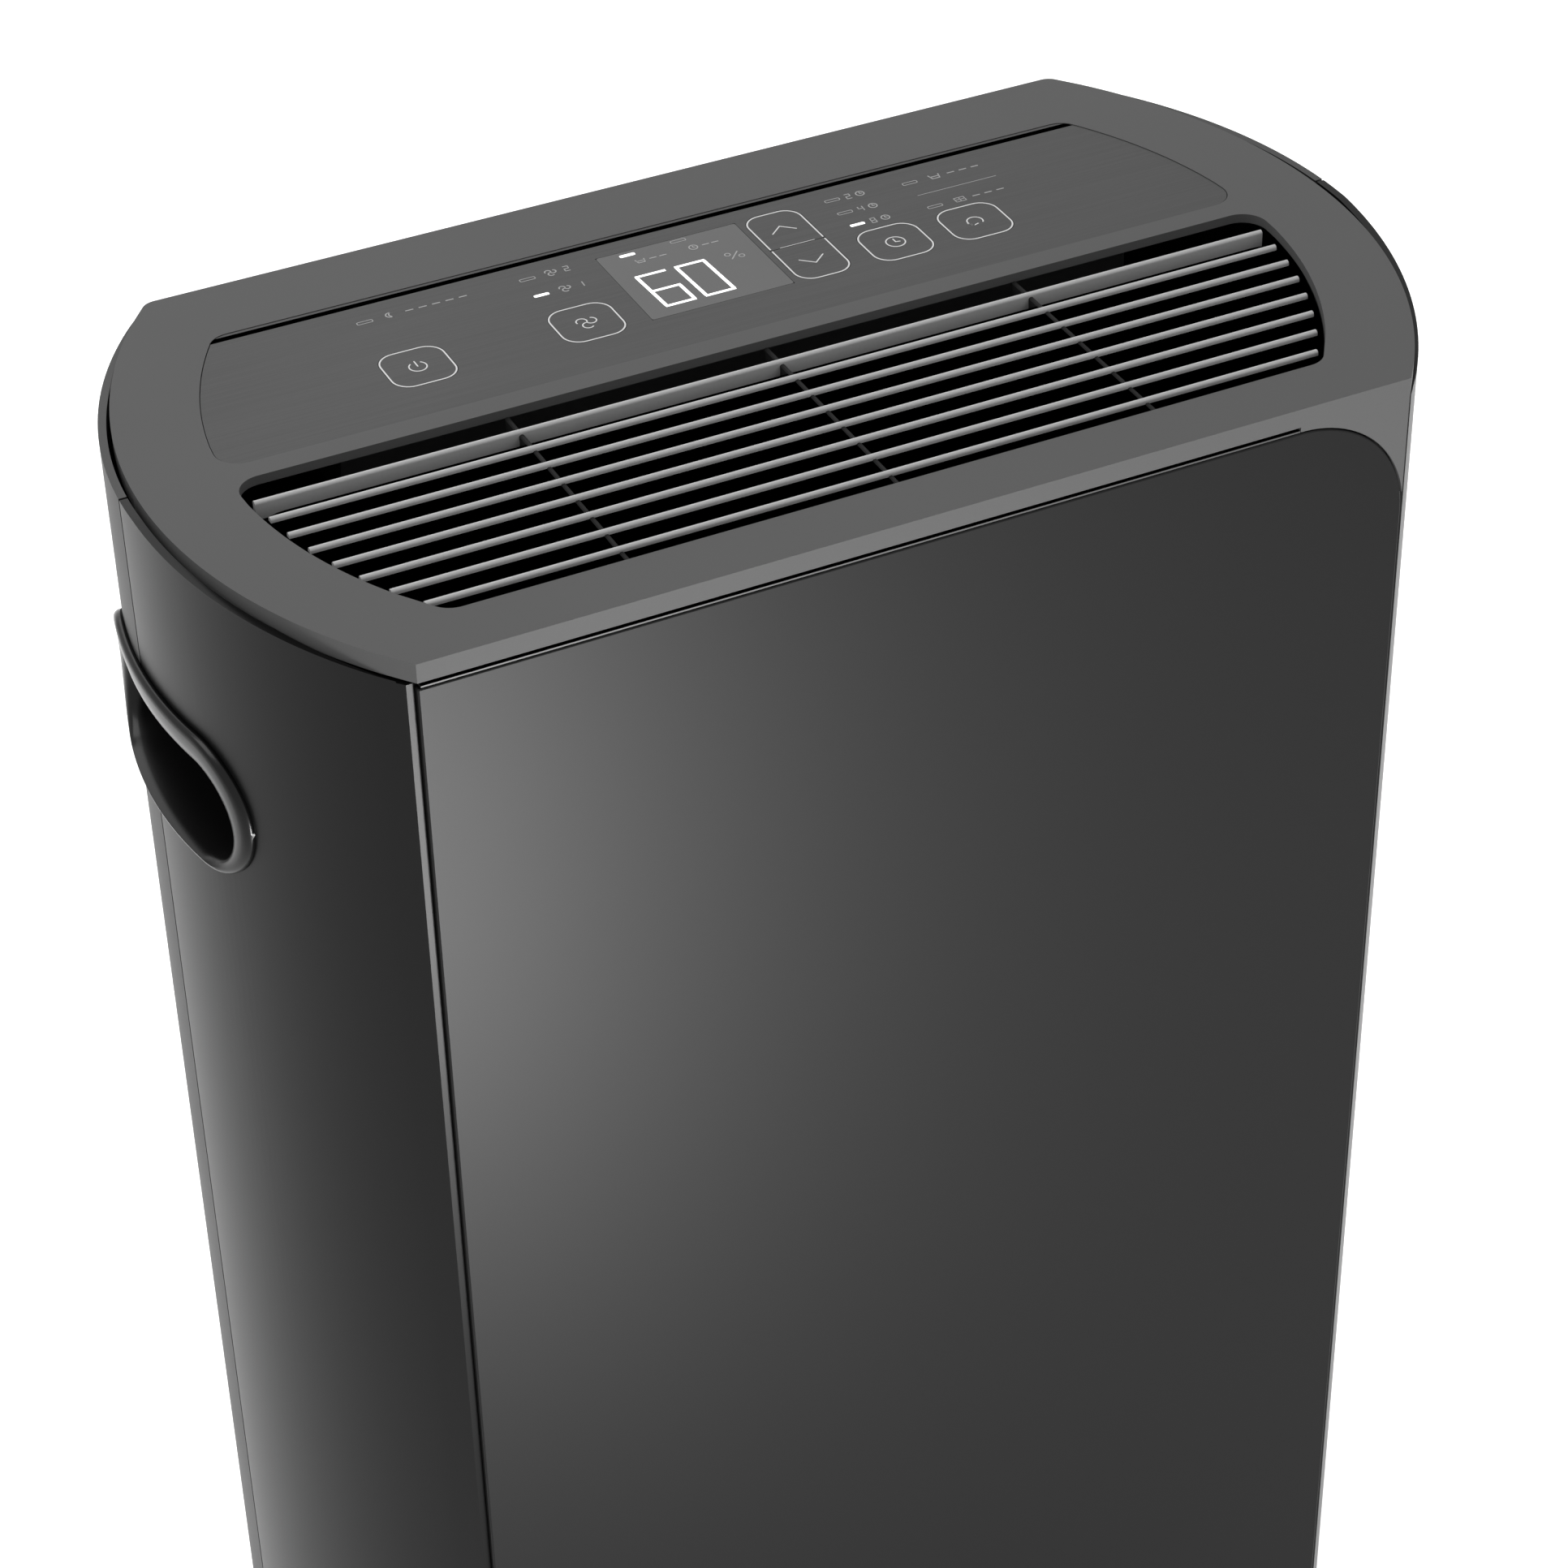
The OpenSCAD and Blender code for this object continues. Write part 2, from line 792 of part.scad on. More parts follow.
module coil_frame() {
    color("#2e2e30") difference() {
        union() {
            difference() {
                box([-frame_x, coil_front_y, frame_z0], [frame_x, coil_back_y, frame_z1]);
                box([-frame_x + frame_t, 0, frame_z0 + frame_t],
                    [frame_x - frame_t, depth, frame_z1 - frame_t]);
            }
            for (y = [evaporator_y, condenser_y]) {
                box([-frame_x + 1, y - 6, frame_z0], [frame_x - 1, y + 6, row_z - 17]);
                box([-frame_x + 1, y - 6, row_top + 17], [frame_x - 1, y + 6, frame_z1]);
            }
            for (x = [-1, 1], z = screw_zs) {
                rod_y(x * screw_x, z, 5, coil_back_y - 10, back_y - wall);
                box([min(x * (frame_x - 1), x * screw_x), coil_back_y - 10, z - 3],
                    [max(x * (frame_x - 1), x * screw_x), coil_back_y, z + 3]);
            }
        }
        for (x = [-1, 1], z = screw_zs) rod_y(x * screw_x, z, screw_r, back_y - 12, back_y);
        for (y = [evaporator_y, condenser_y], z = [row_z, row_top])
            rod_x(y, z, tube_d / 2 + 1, -frame_x - eps, -frame_x + frame_t + eps);
    }
}

// ---- Bulkhead and blower ----

module bulkhead() {
    hand = half_body - pocket_d - 8;
    side = half_at(side_bulge, bulkhead_back_y, wall) - slip;
    color("#303032") difference() {
        union() {
            box([-side, bulkhead_y, base_top], [side, bulkhead_back_y, frame_z1]);
            box([-bucket_x - 2, bulkhead_back_y - eps, shelf_z], [bucket_x + 2, coil_back_y, tray_low]);
            both_sides() box([frame_x - 12, bulkhead_back_y - eps, frame_z0 + 40],
                [frame_x, coil_front_y, frame_z0 + 52]);
        }
        rod_y(0, blower_z, inlet_r, 0, bulkhead_back_y + eps);
        both_sides() box([hand, 0, body_h - handle_drop - handle_h - 8], [front_w, depth, body_h]);
        rod_y(suction_x, row_z, pipe_d / 2 + 1, 0, bulkhead_back_y + eps);
        rod_y(discharge_x, discharge_z, pipe_d / 2 + 1, 0, bulkhead_back_y + eps);
        translate([0, float_y + 30, shelf_z - eps]) cylinder(r = 8.5, h = shelf_t + 2 * eps);
    }
}

module scroll_outline(inset) {
    translate([0, blower_z]) circle(scroll_r - inset);
    neck = [scroll_r + 10 - 2 * inset, neck_top - blower_z + inset];
    translate([inset - scroll_r, blower_z]) square(neck);
}

module blower_scroll() {
    color("#39393b") difference() {
        along_y(scroll_y0, bulkhead_y) intersection() {
            scroll_outline(0);
            translate([-front_w, 0]) square([2 * front_w, neck_top]);
        }
        along_y(scroll_y0 + scroll_t, bulkhead_y - scroll_t) scroll_outline(scroll_t);
        rod_y(0, blower_z, inlet_r, 0, bulkhead_y + eps);
        rod_y(0, blower_z, 18, scroll_y0 - eps, 0);
    }
}

module blower_wheel() {
    blades = 36;
    outer = wheel_d / 2;
    color("#6a6a6c") difference() {
        union() {
            rod_y(0, blower_z, outer, wheel_y0, wheel_y0 + 2);
            rod_y(0, blower_z, 12, wheel_y0 - 4, wheel_y0 + 16);
            difference() {
                rod_y(0, blower_z, outer, wheel_y0 + wheel_w - 3, wheel_y0 + wheel_w);
                rod_y(0, blower_z, outer - 12, -depth, depth);
            }
            for (i = [0 : blades - 1]) translate([0, 0, blower_z]) rotate([0, i * 360 / blades, 0])
                translate([outer - 7, wheel_y0 + wheel_w / 2, 0]) rotate([0, 35, 0])
                cube([10, wheel_w - 2, 1.2], center = true);
        }
        rod_y(0, blower_z, shaft_d / 2, -depth, depth);
    }
}

module motor_shaft() {
    color("#c9ccd0") rod_y(0, blower_z, shaft_d / 2, motor_y0 + 10, wheel_y0 + 14);
}

module fan_motor() {
    y1 = scroll_y0;
    color("#8d9094") difference() {
        union() {
            rod_y(0, blower_z, motor_d / 2, motor_y0, y1 - 4);
            rod_y(0, blower_z, 17, y1 - 5, y1 + 1);
            for (a = [45 : 90 : 315]) translate([0, 0, blower_z]) rotate([0, a, 0])
                box([motor_d / 2 - 8, y1 - 6, -6], [motor_d / 2 + 12, y1, 6]);
        }
        rod_y(0, blower_z, shaft_d / 2 + fit, motor_y0 + 8, y1 + 2);
    }
}

module duct_skin(inset) {
    low = [scroll_r + 10 - 2 * inset, bulkhead_y - scroll_y0 - 2 * inset, 1];
    high_x = 2 * half_at(cover_bulge, vent_y0, deck_border) - 8;
    high = [high_x - 2 * inset, vent_y1 - vent_y0 - 2 * inset, 1];
    hull() {
        translate([inset - scroll_r, scroll_y0 + inset, neck_top - (inset > 0 ? 0.5 : 0)]) cube(low);
        translate([-high.x / 2, vent_y0 + inset, grille_z - slip - (inset > 0 ? 0.5 : 1)]) cube(high);
    }
}

module outlet_duct() {
    color("#39393b") difference() {
        duct_skin(0);
        duct_skin(2);
    }
}

// ---- Refrigeration ----

module compressor() {
    r = compressor_d / 2;
    color("#141416") {
        translate([compressor_x, compressor_y, compressor_z + 3]) {
            cylinder(r = r, h = compressor_h - 22);
            translate([0, 0, compressor_h - 22]) intersection() {
                translate([0, 0, 22 - (r * r + 484) / 44]) sphere(r = (r * r + 484) / 44);
                cylinder(r = r, h = 22);
            }
        }
        difference() {
            translate([compressor_x, compressor_y, compressor_z]) linear_extrude(3) circle(foot_r + 8);
            compressor_places() translate([0, 0, compressor_z - eps]) cylinder(r = 6, h = 3 + 2 * eps);
            box([-front_w, -depth, 0], [front_w, inner_front_y + slip, body_h]);
            box([-front_w, bulkhead_y - slip, 0], [front_w, depth, body_h]);
        }
        translate([gas_port.x, gas_port.y, compressor_top - 12]) cylinder(r = 6, h = 14);
    }
}

module compressor_grommets() {
    color("#26262a") compressor_places() difference() {
        union() {
            translate([0, 0, base_top]) cylinder(r = 10, h = grommet_h);
            translate([0, 0, base_top]) cylinder(r = 6, h = grommet_h + 3);
            translate([0, 0, compressor_z + 3]) cylinder(r = 8, h = 3);
        }
        translate([0, 0, base_top - eps]) cylinder(r = 3, h = grommet_h + 12);
    }
}

module accumulator() {
    low = accumulator_z - 12;
    off_centre = accumulator_y - compressor_y - pipe_d / 2;
    shell_x = compressor_x - sqrt(pow(compressor_d / 2, 2) - pow(off_centre, 2)) - slip;
    color("#18181a") {
        translate([accumulator_x, accumulator_y, accumulator_z])
            cylinder(r = accumulator_r, h = accumulator_h);
        pipe([[accumulator_x, accumulator_y, accumulator_z + 1], [accumulator_x, accumulator_y, low],
            [shell_x, accumulator_y, low]], pipe_d);
    }
}

module suction_pipe() {
    color("#b4703c") pipe([[-fin_x - 4, evaporator_y, row_z], [suction_x, evaporator_y, row_z],
        [suction_x, accumulator_y, row_z], [accumulator_x, accumulator_y, row_z],
        [accumulator_x, accumulator_y, accumulator_z + accumulator_h]], pipe_d);
}

module discharge_pipe() {
    color("#b4703c") pipe([[gas_port.x, gas_port.y, compressor_top + 2],
        [gas_port.x, gas_port.y, discharge_z], [discharge_x, gas_port.y, discharge_z],
        [discharge_x, discharge_y, discharge_z], [riser_x, discharge_y, discharge_z],
        [riser_x, discharge_y, row_top], [riser_x, condenser_y, row_top],
        [-fin_x - 4, condenser_y, row_top]], pipe_d);
}

module capillary_and_drier() {
    turn_z = row_top - 40;
    color("#b4703c") {
        pipe([[-fin_x - 4, condenser_y, row_z], [riser_x, condenser_y, row_z],
            [riser_x, condenser_y, turn_z], [riser_x, evaporator_y, turn_z],
            [riser_x, evaporator_y, row_top], [-fin_x - 4, evaporator_y, row_top]], cap_d);
        translate([riser_x, condenser_y, row_z + 40]) cylinder(r = 7, h = 70);
    }
}

// ---- Water ----

module condensate_tray() {
    y0 = coil_front_y + 2;
    spout = [0, float_y + 30];
    color("#303032") difference() {
        union() {
            difference() {
                box([-frame_x + 2, y0, tray_low], [frame_x - 2, coil_back_y, tray_top]);
                box([-frame_x + 4, y0 + 2, tray_low + 2], [frame_x - 4, coil_back_y - 2, tray_top + eps]);
            }
            translate([spout.x, spout.y, shelf_z - 2]) cylinder(r = 8, h = shelf_t + 3);
            rod_y(port_x, port_z, port_d / 2 + 2.5, coil_back_y - 8, back_y - 3.5);
            for (x = [-1, 1], y = [y0, coil_back_y - 2]) translate([x * (frame_x - 40), y, tray_top - eps])
                cube([12, 2, frame_z0 - tray_top + eps]);
        }
        translate([spout.x, spout.y, shelf_z - 4]) cylinder(r = 5, h = 12);
        rod_y(port_x, port_z, port_d / 2, coil_back_y - 9, back_y);
    }
}

module bucket() {
    y1 = back_y - 0.2;
    grip_x = 45;
    grip_z0 = bucket_top - 44;
    grip_z1 = bucket_top - 12;
    low = bucket_z + slip;
    color("#2a2a2c") difference() {
        union() {
            difference() {
                box([-bucket_x, bay_y, low], [bucket_x, y1, bucket_top]);
                box([-bucket_x + bucket_wall, bay_y + bucket_wall, low + bucket_wall],
                    [bucket_x - bucket_wall, y1 - bucket_wall, bucket_top + eps]);
            }
            box([-bucket_x - 2.5, y1 - bucket_wall, base_top + 1], [bucket_x + 2.5, y1, bucket_top + 1.5]);
            box([-grip_x - 2, y1 - 22, grip_z0 - 2], [grip_x + 2, y1, grip_z1 + 2]);
            for (side = [-1, 1]) box([float_x + side * 8 - 1.5, bay_y + 1, float_z - 5],
                [float_x + side * 8 + 1.5, float_y + 5, float_z + 5]);
        }
        box([-grip_x, y1 - 20, grip_z0], [grip_x, depth, grip_z1]);
        rod_x(float_y, float_z, 2 + fit, float_x - 12, float_x + 12);
    }
}

module float_arm() {
    color("#d8d4c8") {
        rod_x(float_y, float_z, 2, float_x - 11, float_x + 11);
        rod_x(float_y, float_z, 4, float_x - 6, float_x + 6);
        box([float_x - 5, float_y, float_z - 3], [float_x + 5, float_y + 22, float_z + 3]);
        box([float_x - 15, float_y + 12, float_z - 20], [float_x + 15, float_y + 36, float_z - 2]);
    }
}

module level_sensor() {
    color("#e6e3da") box([float_x - 14, bulkhead_back_y, float_z - 10],
        [float_x + 14, bay_y - 1, float_z + 10]);
}

module drain_door() {
    x0 = port_x - door_w / 2 + 0.4;
    x1 = port_x + door_w / 2 - 0.4;
    color("#1d1d1f") {
        box([x0, back_y - 2, door_low + 0.4], [x1, back_y - 0.2, hinge_z]);
        rod_x(hinge_y, hinge_z, 1.6, x0, x1);
        rod_x(hinge_y, hinge_z, 1, x0 - 2, x1 + 2);
    }
}

module cord_gland() {
    color("#111113") difference() {
        union() {
            rod_y(gland_x, port_z, gland_r, back_y - 6, back_y);
            rod_y(gland_x, port_z, gland_r + 3, back_y - wall - 3, back_y - wall);
        }
        rod_y(gland_x, port_z, cord_d / 2, back_y - 10, back_y + eps);
    }
}

// ---- Electrics and fasteners ----

electrics_side_gap = 20;
electrics_x0 = scroll_r + 8;
electrics_x1 = half_at(side_bulge, max(abs(bulkhead_y), abs(bulkhead_y - 50)), wall) - electrics_side_gap;

module electrics_box() {
    color("#c9c6bd") difference() {
        box([electrics_x0, bulkhead_y - 50, blower_z - 60], [electrics_x1, bulkhead_y, blower_z + 50]);
        box([electrics_x0 + 2, bulkhead_y - 48, blower_z - 58],
            [electrics_x1 - 2, bulkhead_y - 2, blower_z + 48]);
    }
}

module run_capacitor() {
    color("#d0d2d4") translate([(electrics_x0 + electrics_x1) / 2, bulkhead_y - 24, blower_z + 50])
        cylinder(r = 16, h = 62);
}

module humidity_sensor() {
    color("#2c6e49") box([frame_x, condenser_y - 8, frame_z1 - 110],
        [frame_x + 12, condenser_y + 14, frame_z1 - 80]);
}

module cabinet_screws() {
    color("#8a8c90") for (x = [-1, 1], z = screw_zs) {
        rod_y(x * screw_x, z, screw_r, back_y - 12, back_y - 1);
        rod_y(x * screw_x, z, 3.8, back_y - 1.5, back_y - 0.2);
    }
}

// ---- Castors ----

module castor_fork() {
    color("#3c3c3f") {
        translate([0, 0, fork_top - 4]) cylinder(r = 11, h = 4);
        translate([0, 0, fork_top - eps]) cylinder(r = stem_d / 2, h = stem_top - fork_top + eps - slip);
        for (x = [-cheek_x - cheek_t, cheek_x]) along_x(x, x + cheek_t) {
            polygon([[-7, fork_top - 3], [9, fork_top - 3], [trail + 6, axle_z], [trail - 6, axle_z]]);
            translate([trail, axle_z]) circle(6);
        }
        rod_x(trail, axle_z, axle_r, -cheek_x - cheek_t, cheek_x + cheek_t);
    }
}

module castor_wheel() {
    color("#202022") difference() {
        rod_x(trail, axle_z, castor_d / 2, -castor_w / 2, castor_w / 2);
        rod_x(trail, axle_z, axle_r + fit, -castor_w, castor_w);
        for (x = [-castor_w, castor_w / 2 - 2]) difference() {
            rod_x(trail, axle_z, castor_d / 2 - 3, x, x + castor_w / 2 + 2);
            rod_x(trail, axle_z, axle_r + 2.5, x - eps, x + castor_w);
        }
    }
}

module castor_fork_fl() {
    translate([-castor_x, -castor_y, 0]) castor_fork();
}

module castor_fork_fr() {
    translate([castor_x, -castor_y, 0]) castor_fork();
}

module castor_fork_rl() {
    translate([-castor_x, castor_y, 0]) castor_fork();
}

module castor_fork_rr() {
    translate([castor_x, castor_y, 0]) castor_fork();
}

module castor_wheel_fl() {
    translate([-castor_x, -castor_y, 0]) castor_wheel();
}

module castor_wheel_fr() {
    translate([castor_x, -castor_y, 0]) castor_wheel();
}

module castor_wheel_rl() {
    translate([-castor_x, castor_y, 0]) castor_wheel();
}

module castor_wheel_rr() {
    translate([castor_x, castor_y, 0]) castor_wheel();
}

base_pan();
front_cabinet();
rear_cabinet();
top_cover();
outlet_grille();
front_panel();
front_carrier();
handle_left();
handle_right();
control_overlay();
display_window();
indicator_lenses();
key_power();
key_fan();
key_up();
key_down();
key_timer();
key_reset();
control_tray();
control_board();
display_module();
filter_frame();
filter_mesh();
evaporator_fins();
evaporator_tubes();
condenser_fins();
condenser_tubes();
coil_frame();
bulkhead();
blower_scroll();
blower_wheel();
motor_shaft();
fan_motor();
outlet_duct();
compressor();
compressor_grommets();
accumulator();
suction_pipe();
discharge_pipe();
capillary_and_drier();
condensate_tray();
bucket();
float_arm();
level_sensor();
drain_door();
cord_gland();
electrics_box();
run_capacitor();
humidity_sensor();
cabinet_screws();
castor_fork_fl();
castor_fork_fr();
castor_fork_rl();
castor_fork_rr();
castor_wheel_fl();
castor_wheel_fr();
castor_wheel_rl();
castor_wheel_rr();
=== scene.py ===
"""Looks of the upright dehumidifier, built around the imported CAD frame. Metres, front is -Y."""
import json
import math

import bmesh
import bpy
from mathutils import Matrix, Vector

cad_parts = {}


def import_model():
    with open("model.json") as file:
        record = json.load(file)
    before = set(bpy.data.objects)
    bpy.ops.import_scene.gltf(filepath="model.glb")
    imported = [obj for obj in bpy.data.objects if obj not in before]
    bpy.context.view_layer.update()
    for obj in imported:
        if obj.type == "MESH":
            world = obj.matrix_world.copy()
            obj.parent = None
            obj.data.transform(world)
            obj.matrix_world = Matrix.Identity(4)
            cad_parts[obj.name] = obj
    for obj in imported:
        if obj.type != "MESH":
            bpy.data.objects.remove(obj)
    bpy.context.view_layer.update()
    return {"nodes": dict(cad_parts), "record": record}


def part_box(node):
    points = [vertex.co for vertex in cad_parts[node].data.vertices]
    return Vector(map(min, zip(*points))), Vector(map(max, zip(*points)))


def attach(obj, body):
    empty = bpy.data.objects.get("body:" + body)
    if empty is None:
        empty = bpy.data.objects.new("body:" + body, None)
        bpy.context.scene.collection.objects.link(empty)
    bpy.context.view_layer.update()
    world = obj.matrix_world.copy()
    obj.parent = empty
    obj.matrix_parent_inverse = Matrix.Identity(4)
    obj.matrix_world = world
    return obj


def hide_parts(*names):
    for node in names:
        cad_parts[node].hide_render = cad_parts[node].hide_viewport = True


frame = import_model()
NODES = frame["nodes"]
MM = 0.001

# ---- Sizes, from the frame where it gives them ----
DECK_LOW, DECK_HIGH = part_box("top_cover")
PANEL_LOW, PANEL_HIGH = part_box("front_panel")
TOP = DECK_HIGH.z
FRONT, BACK = DECK_LOW.y, DECK_HIGH.y
DEPTH = BACK - FRONT
FRONT_W = 315 * MM
SIDE_BULGE = 43.5 * MM
COVER_BULGE = 39 * MM
HALF_BODY = FRONT_W / 2 + SIDE_BULGE
WALL = 2.5 * MM
COVER_T = 6.2 * MM
UNDER = TOP - 7.6 * MM
DECK_T = 3 * MM
RIM = TOP - 1 * MM
CABINET_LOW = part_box("front_cabinet")[0].z
SEAM_Y = 8 * MM
DECK_BORDER = 26.3 * MM
DECK_CORNER = 8 * MM
BACK_CORNER = 5.5 * MM
VENT_FRONT, VENT_BACK = FRONT + 20 * MM, 0.0
FIELD_FRONT, FIELD_BACK = 8 * MM, BACK - 16 * MM
EAR_R = 37.5 * MM
PANEL_T = PANEL_HIGH.y - PANEL_LOW.y
BAR_PITCH, BAR_W, BAR_COUNT = 10 * MM, 2 * MM, 8
RIB_PITCH = 84.5 * MM
FACE = TOP - 0.2 * MM
KEY_W, KEY_R, KEY_Y = 21 * MM, 6 * MM, 35 * MM
ARC_STEPS = 72
HANDLE_DROP, HANDLE_L, HANDLE_H = 58 * MM, 110 * MM, 47 * MM
GRIP_DROP, GRIP_H = 12 * MM, 32.5 * MM
HANDLE_Z = TOP - HANDLE_DROP - HANDLE_H / 2
GRIP_Z = TOP - HANDLE_DROP - GRIP_DROP - GRIP_H / 2
POCKET = 29.9 * MM
SCREW_HEAD_R = 3.8 * MM
DIGIT_W, DIGIT_H, DIGIT_LINE = 1.5 * MM, 2.9 * MM, 0.38 * MM


# ---- Outlines: lists of (x, y), anticlockwise ----

def arc_r(bulge):
    return (bulge * bulge + DEPTH * DEPTH / 4) / (2 * bulge)


def arc_x(bulge):
    return FRONT_W / 2 + bulge - arc_r(bulge)


def half_at(bulge, y, inset=0.0):
    return arc_x(bulge) + math.sqrt((arc_r(bulge) - inset) ** 2 - y * y)


def round_corners(points, radii, steps=8):
    """Rounds the corners whose index is in radii, taking both neighbours as straight."""
    out = []
    count = len(points)
    for i, p in enumerate(points):
        r = radii.get(i)
        if not r:
            out.append(p)
            continue
        p = Vector(p)
        a = (Vector(points[i - 1]) - p).normalized()
        b = (Vector(points[(i + 1) % count]) - p).normalized()
        half = a.angle(b) / 2
        centre = p + (a + b).normalized() * r / math.sin(half)
        start = p + a * r / math.tan(half) - centre
        end = p + b * r / math.tan(half) - centre
        sweep = start.angle_signed(end)
        for k in range(steps + 1):
            v = start.copy()
            v.rotate(Matrix.Rotation(-sweep * k / steps, 2))
            out.append(tuple(centre + v))
    return out


def plan(bulge, inset=0.0, y0=None, y1=None, corner=0.0, back_corner=0.0):
    """Flat front and back with an arc on each side. Corners: front r, back r."""
    y0 = FRONT + inset if y0 is None else y0
    y1 = BACK - inset if y1 is None else y1
    ys = [y0 + (y1 - y0) * k / ARC_STEPS for k in range(ARC_STEPS + 1)]
    gap = max(corner, back_corner) * 1.6
    ys = [y for y in ys if y in (y0, y1) or (y0 + gap < y < y1 - gap)]
    right = [(half_at(bulge, y, inset), y) for y in ys]
    left = [(-x, y) for x, y in reversed(right)]
    points = right + left
    n = len(right)
    radii = {0: corner, n - 1: back_corner or corner, n: back_corner or corner, 2 * n - 1: corner}
    return round_corners(points, radii)


def rounded_rect(w, d, r, cx=0.0, cy=0.0, steps=8):
    x, y = w / 2, d / 2
    points = [(x, -y), (x, y), (-x, y), (-x, -y)]
    out = round_corners(points, {i: r for i in range(4)}, steps)
    return [(cx + a, cy + b) for a, b in out]


def stadium(length, height, cu=0.0, cv=0.0, steps=20):
    outline = rounded_rect(length, height, height / 2 * 0.9999, cu, cv, steps)
    out = []
    for (ax, ay), (bx, by) in zip(outline, outline[1:] + outline[:1]):
        parts = 24 if math.hypot(bx - ax, by - ay) > length / 4 else 1
        out += [(ax + (bx - ax) * k / parts, ay + (by - ay) * k / parts) for k in range(parts)]
    return out


def circle(r, cx=0.0, cy=0.0, steps=48):
    turn = [2 * math.pi * k / steps for k in range(steps)]
    return [(cx + r * math.cos(t), cy + r * math.sin(t)) for t in turn]


# ---- Meshes ----

def new_object(name, bm, material=None, body="body", replaces=(), slot=None, smooth=30):
    mesh = bpy.data.meshes.new(name)
    bm.normal_update()
    bm.to_mesh(mesh)
    bm.free()
    obj = bpy.data.objects.new(name, mesh)
    bpy.context.scene.collection.objects.link(obj)
    if material:
        mesh.materials.append(material)
    if smooth:
        for p in mesh.polygons:
            p.use_smooth = True
        mesh.set_sharp_from_angle(angle=math.radians(smooth))
    if body:
        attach(obj, body)
    if replaces:
        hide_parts(*replaces)
    return obj


AXES = {
    "z": lambda u, v, w: (u, v, w),
    "y": lambda u, v, w: (u, w, v),
    "x": lambda u, v, w: (w, u, v),
}


def prism_mesh(bm, outline, low, high, along="z"):
    """Adds a closed prism of the outline between two planes, with outward normals."""
    place = AXES[along]
    bottom = [bm.verts.new(place(u, v, low)) for u, v in outline]
    top = [bm.verts.new(place(u, v, high)) for u, v in outline]
    faces = [bm.faces.new(bottom), bm.faces.new(top)]
    count = len(outline)
    for i in range(count):
        k = (i + 1) % count
        faces.append(bm.faces.new((bottom[i], bottom[k], top[k], top[i])))
    bmesh.ops.recalc_face_normals(bm, faces=faces)
    return faces


def box_mesh(bm, low, high):
    (x0, y0, z0), (x1, y1, z1) = low, high
    prism_mesh(bm, [(x0, y0), (x1, y0), (x1, y1), (x0, y1)], z0, z1)


def prism(outline, low, high, along="z"):
    bm = bmesh.new()
    prism_mesh(bm, outline, low, high, along)
    return bm


def cutter(bm):
    return new_object("cutter", bm, body=None, smooth=0)


def evaluate(obj):
    """Turns the modifiers into mesh."""
    graph = bpy.context.evaluated_depsgraph_get()
    mesh = bpy.data.meshes.new_from_object(obj.evaluated_get(graph))
    old = obj.data
    obj.modifiers.clear()
    obj.data = mesh
    bpy.data.meshes.remove(old)


def carved(name, base, cuts=(), joins=(), bevel=0.0, segments=3, angle=32, **rest):
    """A solid cut and joined with booleans, then bevelled along its edges."""
    obj = new_object(name, base, body=None, smooth=0)
    tools = [("UNION", cutter(b)) for b in joins] + [("DIFFERENCE", cutter(b)) for b in cuts]
    for kind, tool in tools:
        mod = obj.modifiers.new(kind, "BOOLEAN")
        mod.operation = kind
        mod.solver = "MANIFOLD"
        mod.object = tool
        evaluate(obj)
        bpy.data.objects.remove(tool)
    bm = bmesh.new()
    bm.from_mesh(obj.data)
    bmesh.ops.remove_doubles(bm, verts=bm.verts, dist=1e-6)
    bmesh.ops.dissolve_limit(bm, angle_limit=math.radians(0.5), verts=bm.verts, edges=bm.edges)
    bpy.data.objects.remove(obj)
    obj = new_object(name, bm, **rest)
    if bevel:
        add_bevel(obj, bevel, segments, angle)
    return obj


def add_bevel(obj, width, segments=3, angle=32):
    mod = obj.modifiers.new("edge_radius", "BEVEL")
    mod.width = width
    mod.segments = segments
    mod.limit_method = "ANGLE"
    mod.angle_limit = math.radians(angle)
    mod.harden_normals = True
    mod.use_clamp_overlap = True
    mod.miter_outer = "MITER_ARC"
    return mod


# ---- Materials ----

def nodes_of(name):
    mat = bpy.data.materials.new(name)
    mat.use_nodes = True
    tree = mat.node_tree
    bsdf = tree.nodes["Principled BSDF"]
    return mat, tree, bsdf


def srgb(value):
    """One grey level, or three, given as 0 to 255."""
    values = value if isinstance(value, (tuple, list)) else (value,) * 3
    out = [((v / 255 + 0.055) / 1.055) ** 2.4 if v > 10 else v / 255 / 12.92 for v in values]
    return (*out, 1.0)


def noise(tree, scale, detail=2.0, stretch=(1, 1, 1), rough=0.5):
    coord = tree.nodes.new("ShaderNodeTexCoord")
    mapping = tree.nodes.new("ShaderNodeMapping")
    mapping.inputs["Scale"].default_value = stretch
    tex = tree.nodes.new("ShaderNodeTexNoise")
    tex.inputs["Scale"].default_value = scale
    tex.inputs["Detail"].default_value = detail
    tex.inputs["Roughness"].default_value = rough
    tree.links.new(coord.outputs["Object"], mapping.inputs["Vector"])
    tree.links.new(mapping.outputs["Vector"], tex.inputs["Vector"])
    return tex.outputs["Fac"]


def mix_colour(tree, fac, low, high):
    mix = tree.nodes.new("ShaderNodeMix")
    mix.data_type = "RGBA"
    mix.inputs[6].default_value = low
    mix.inputs[7].default_value = high
    tree.links.new(fac, mix.inputs[0])
    return mix.outputs[2]


def spread(tree, fac, low, high):
    ramp = tree.nodes.new("ShaderNodeMapRange")
    ramp.inputs["To Min"].default_value = low
    ramp.inputs["To Max"].default_value = high
    tree.links.new(fac, ramp.inputs["Value"])
    return ramp.outputs["Result"]


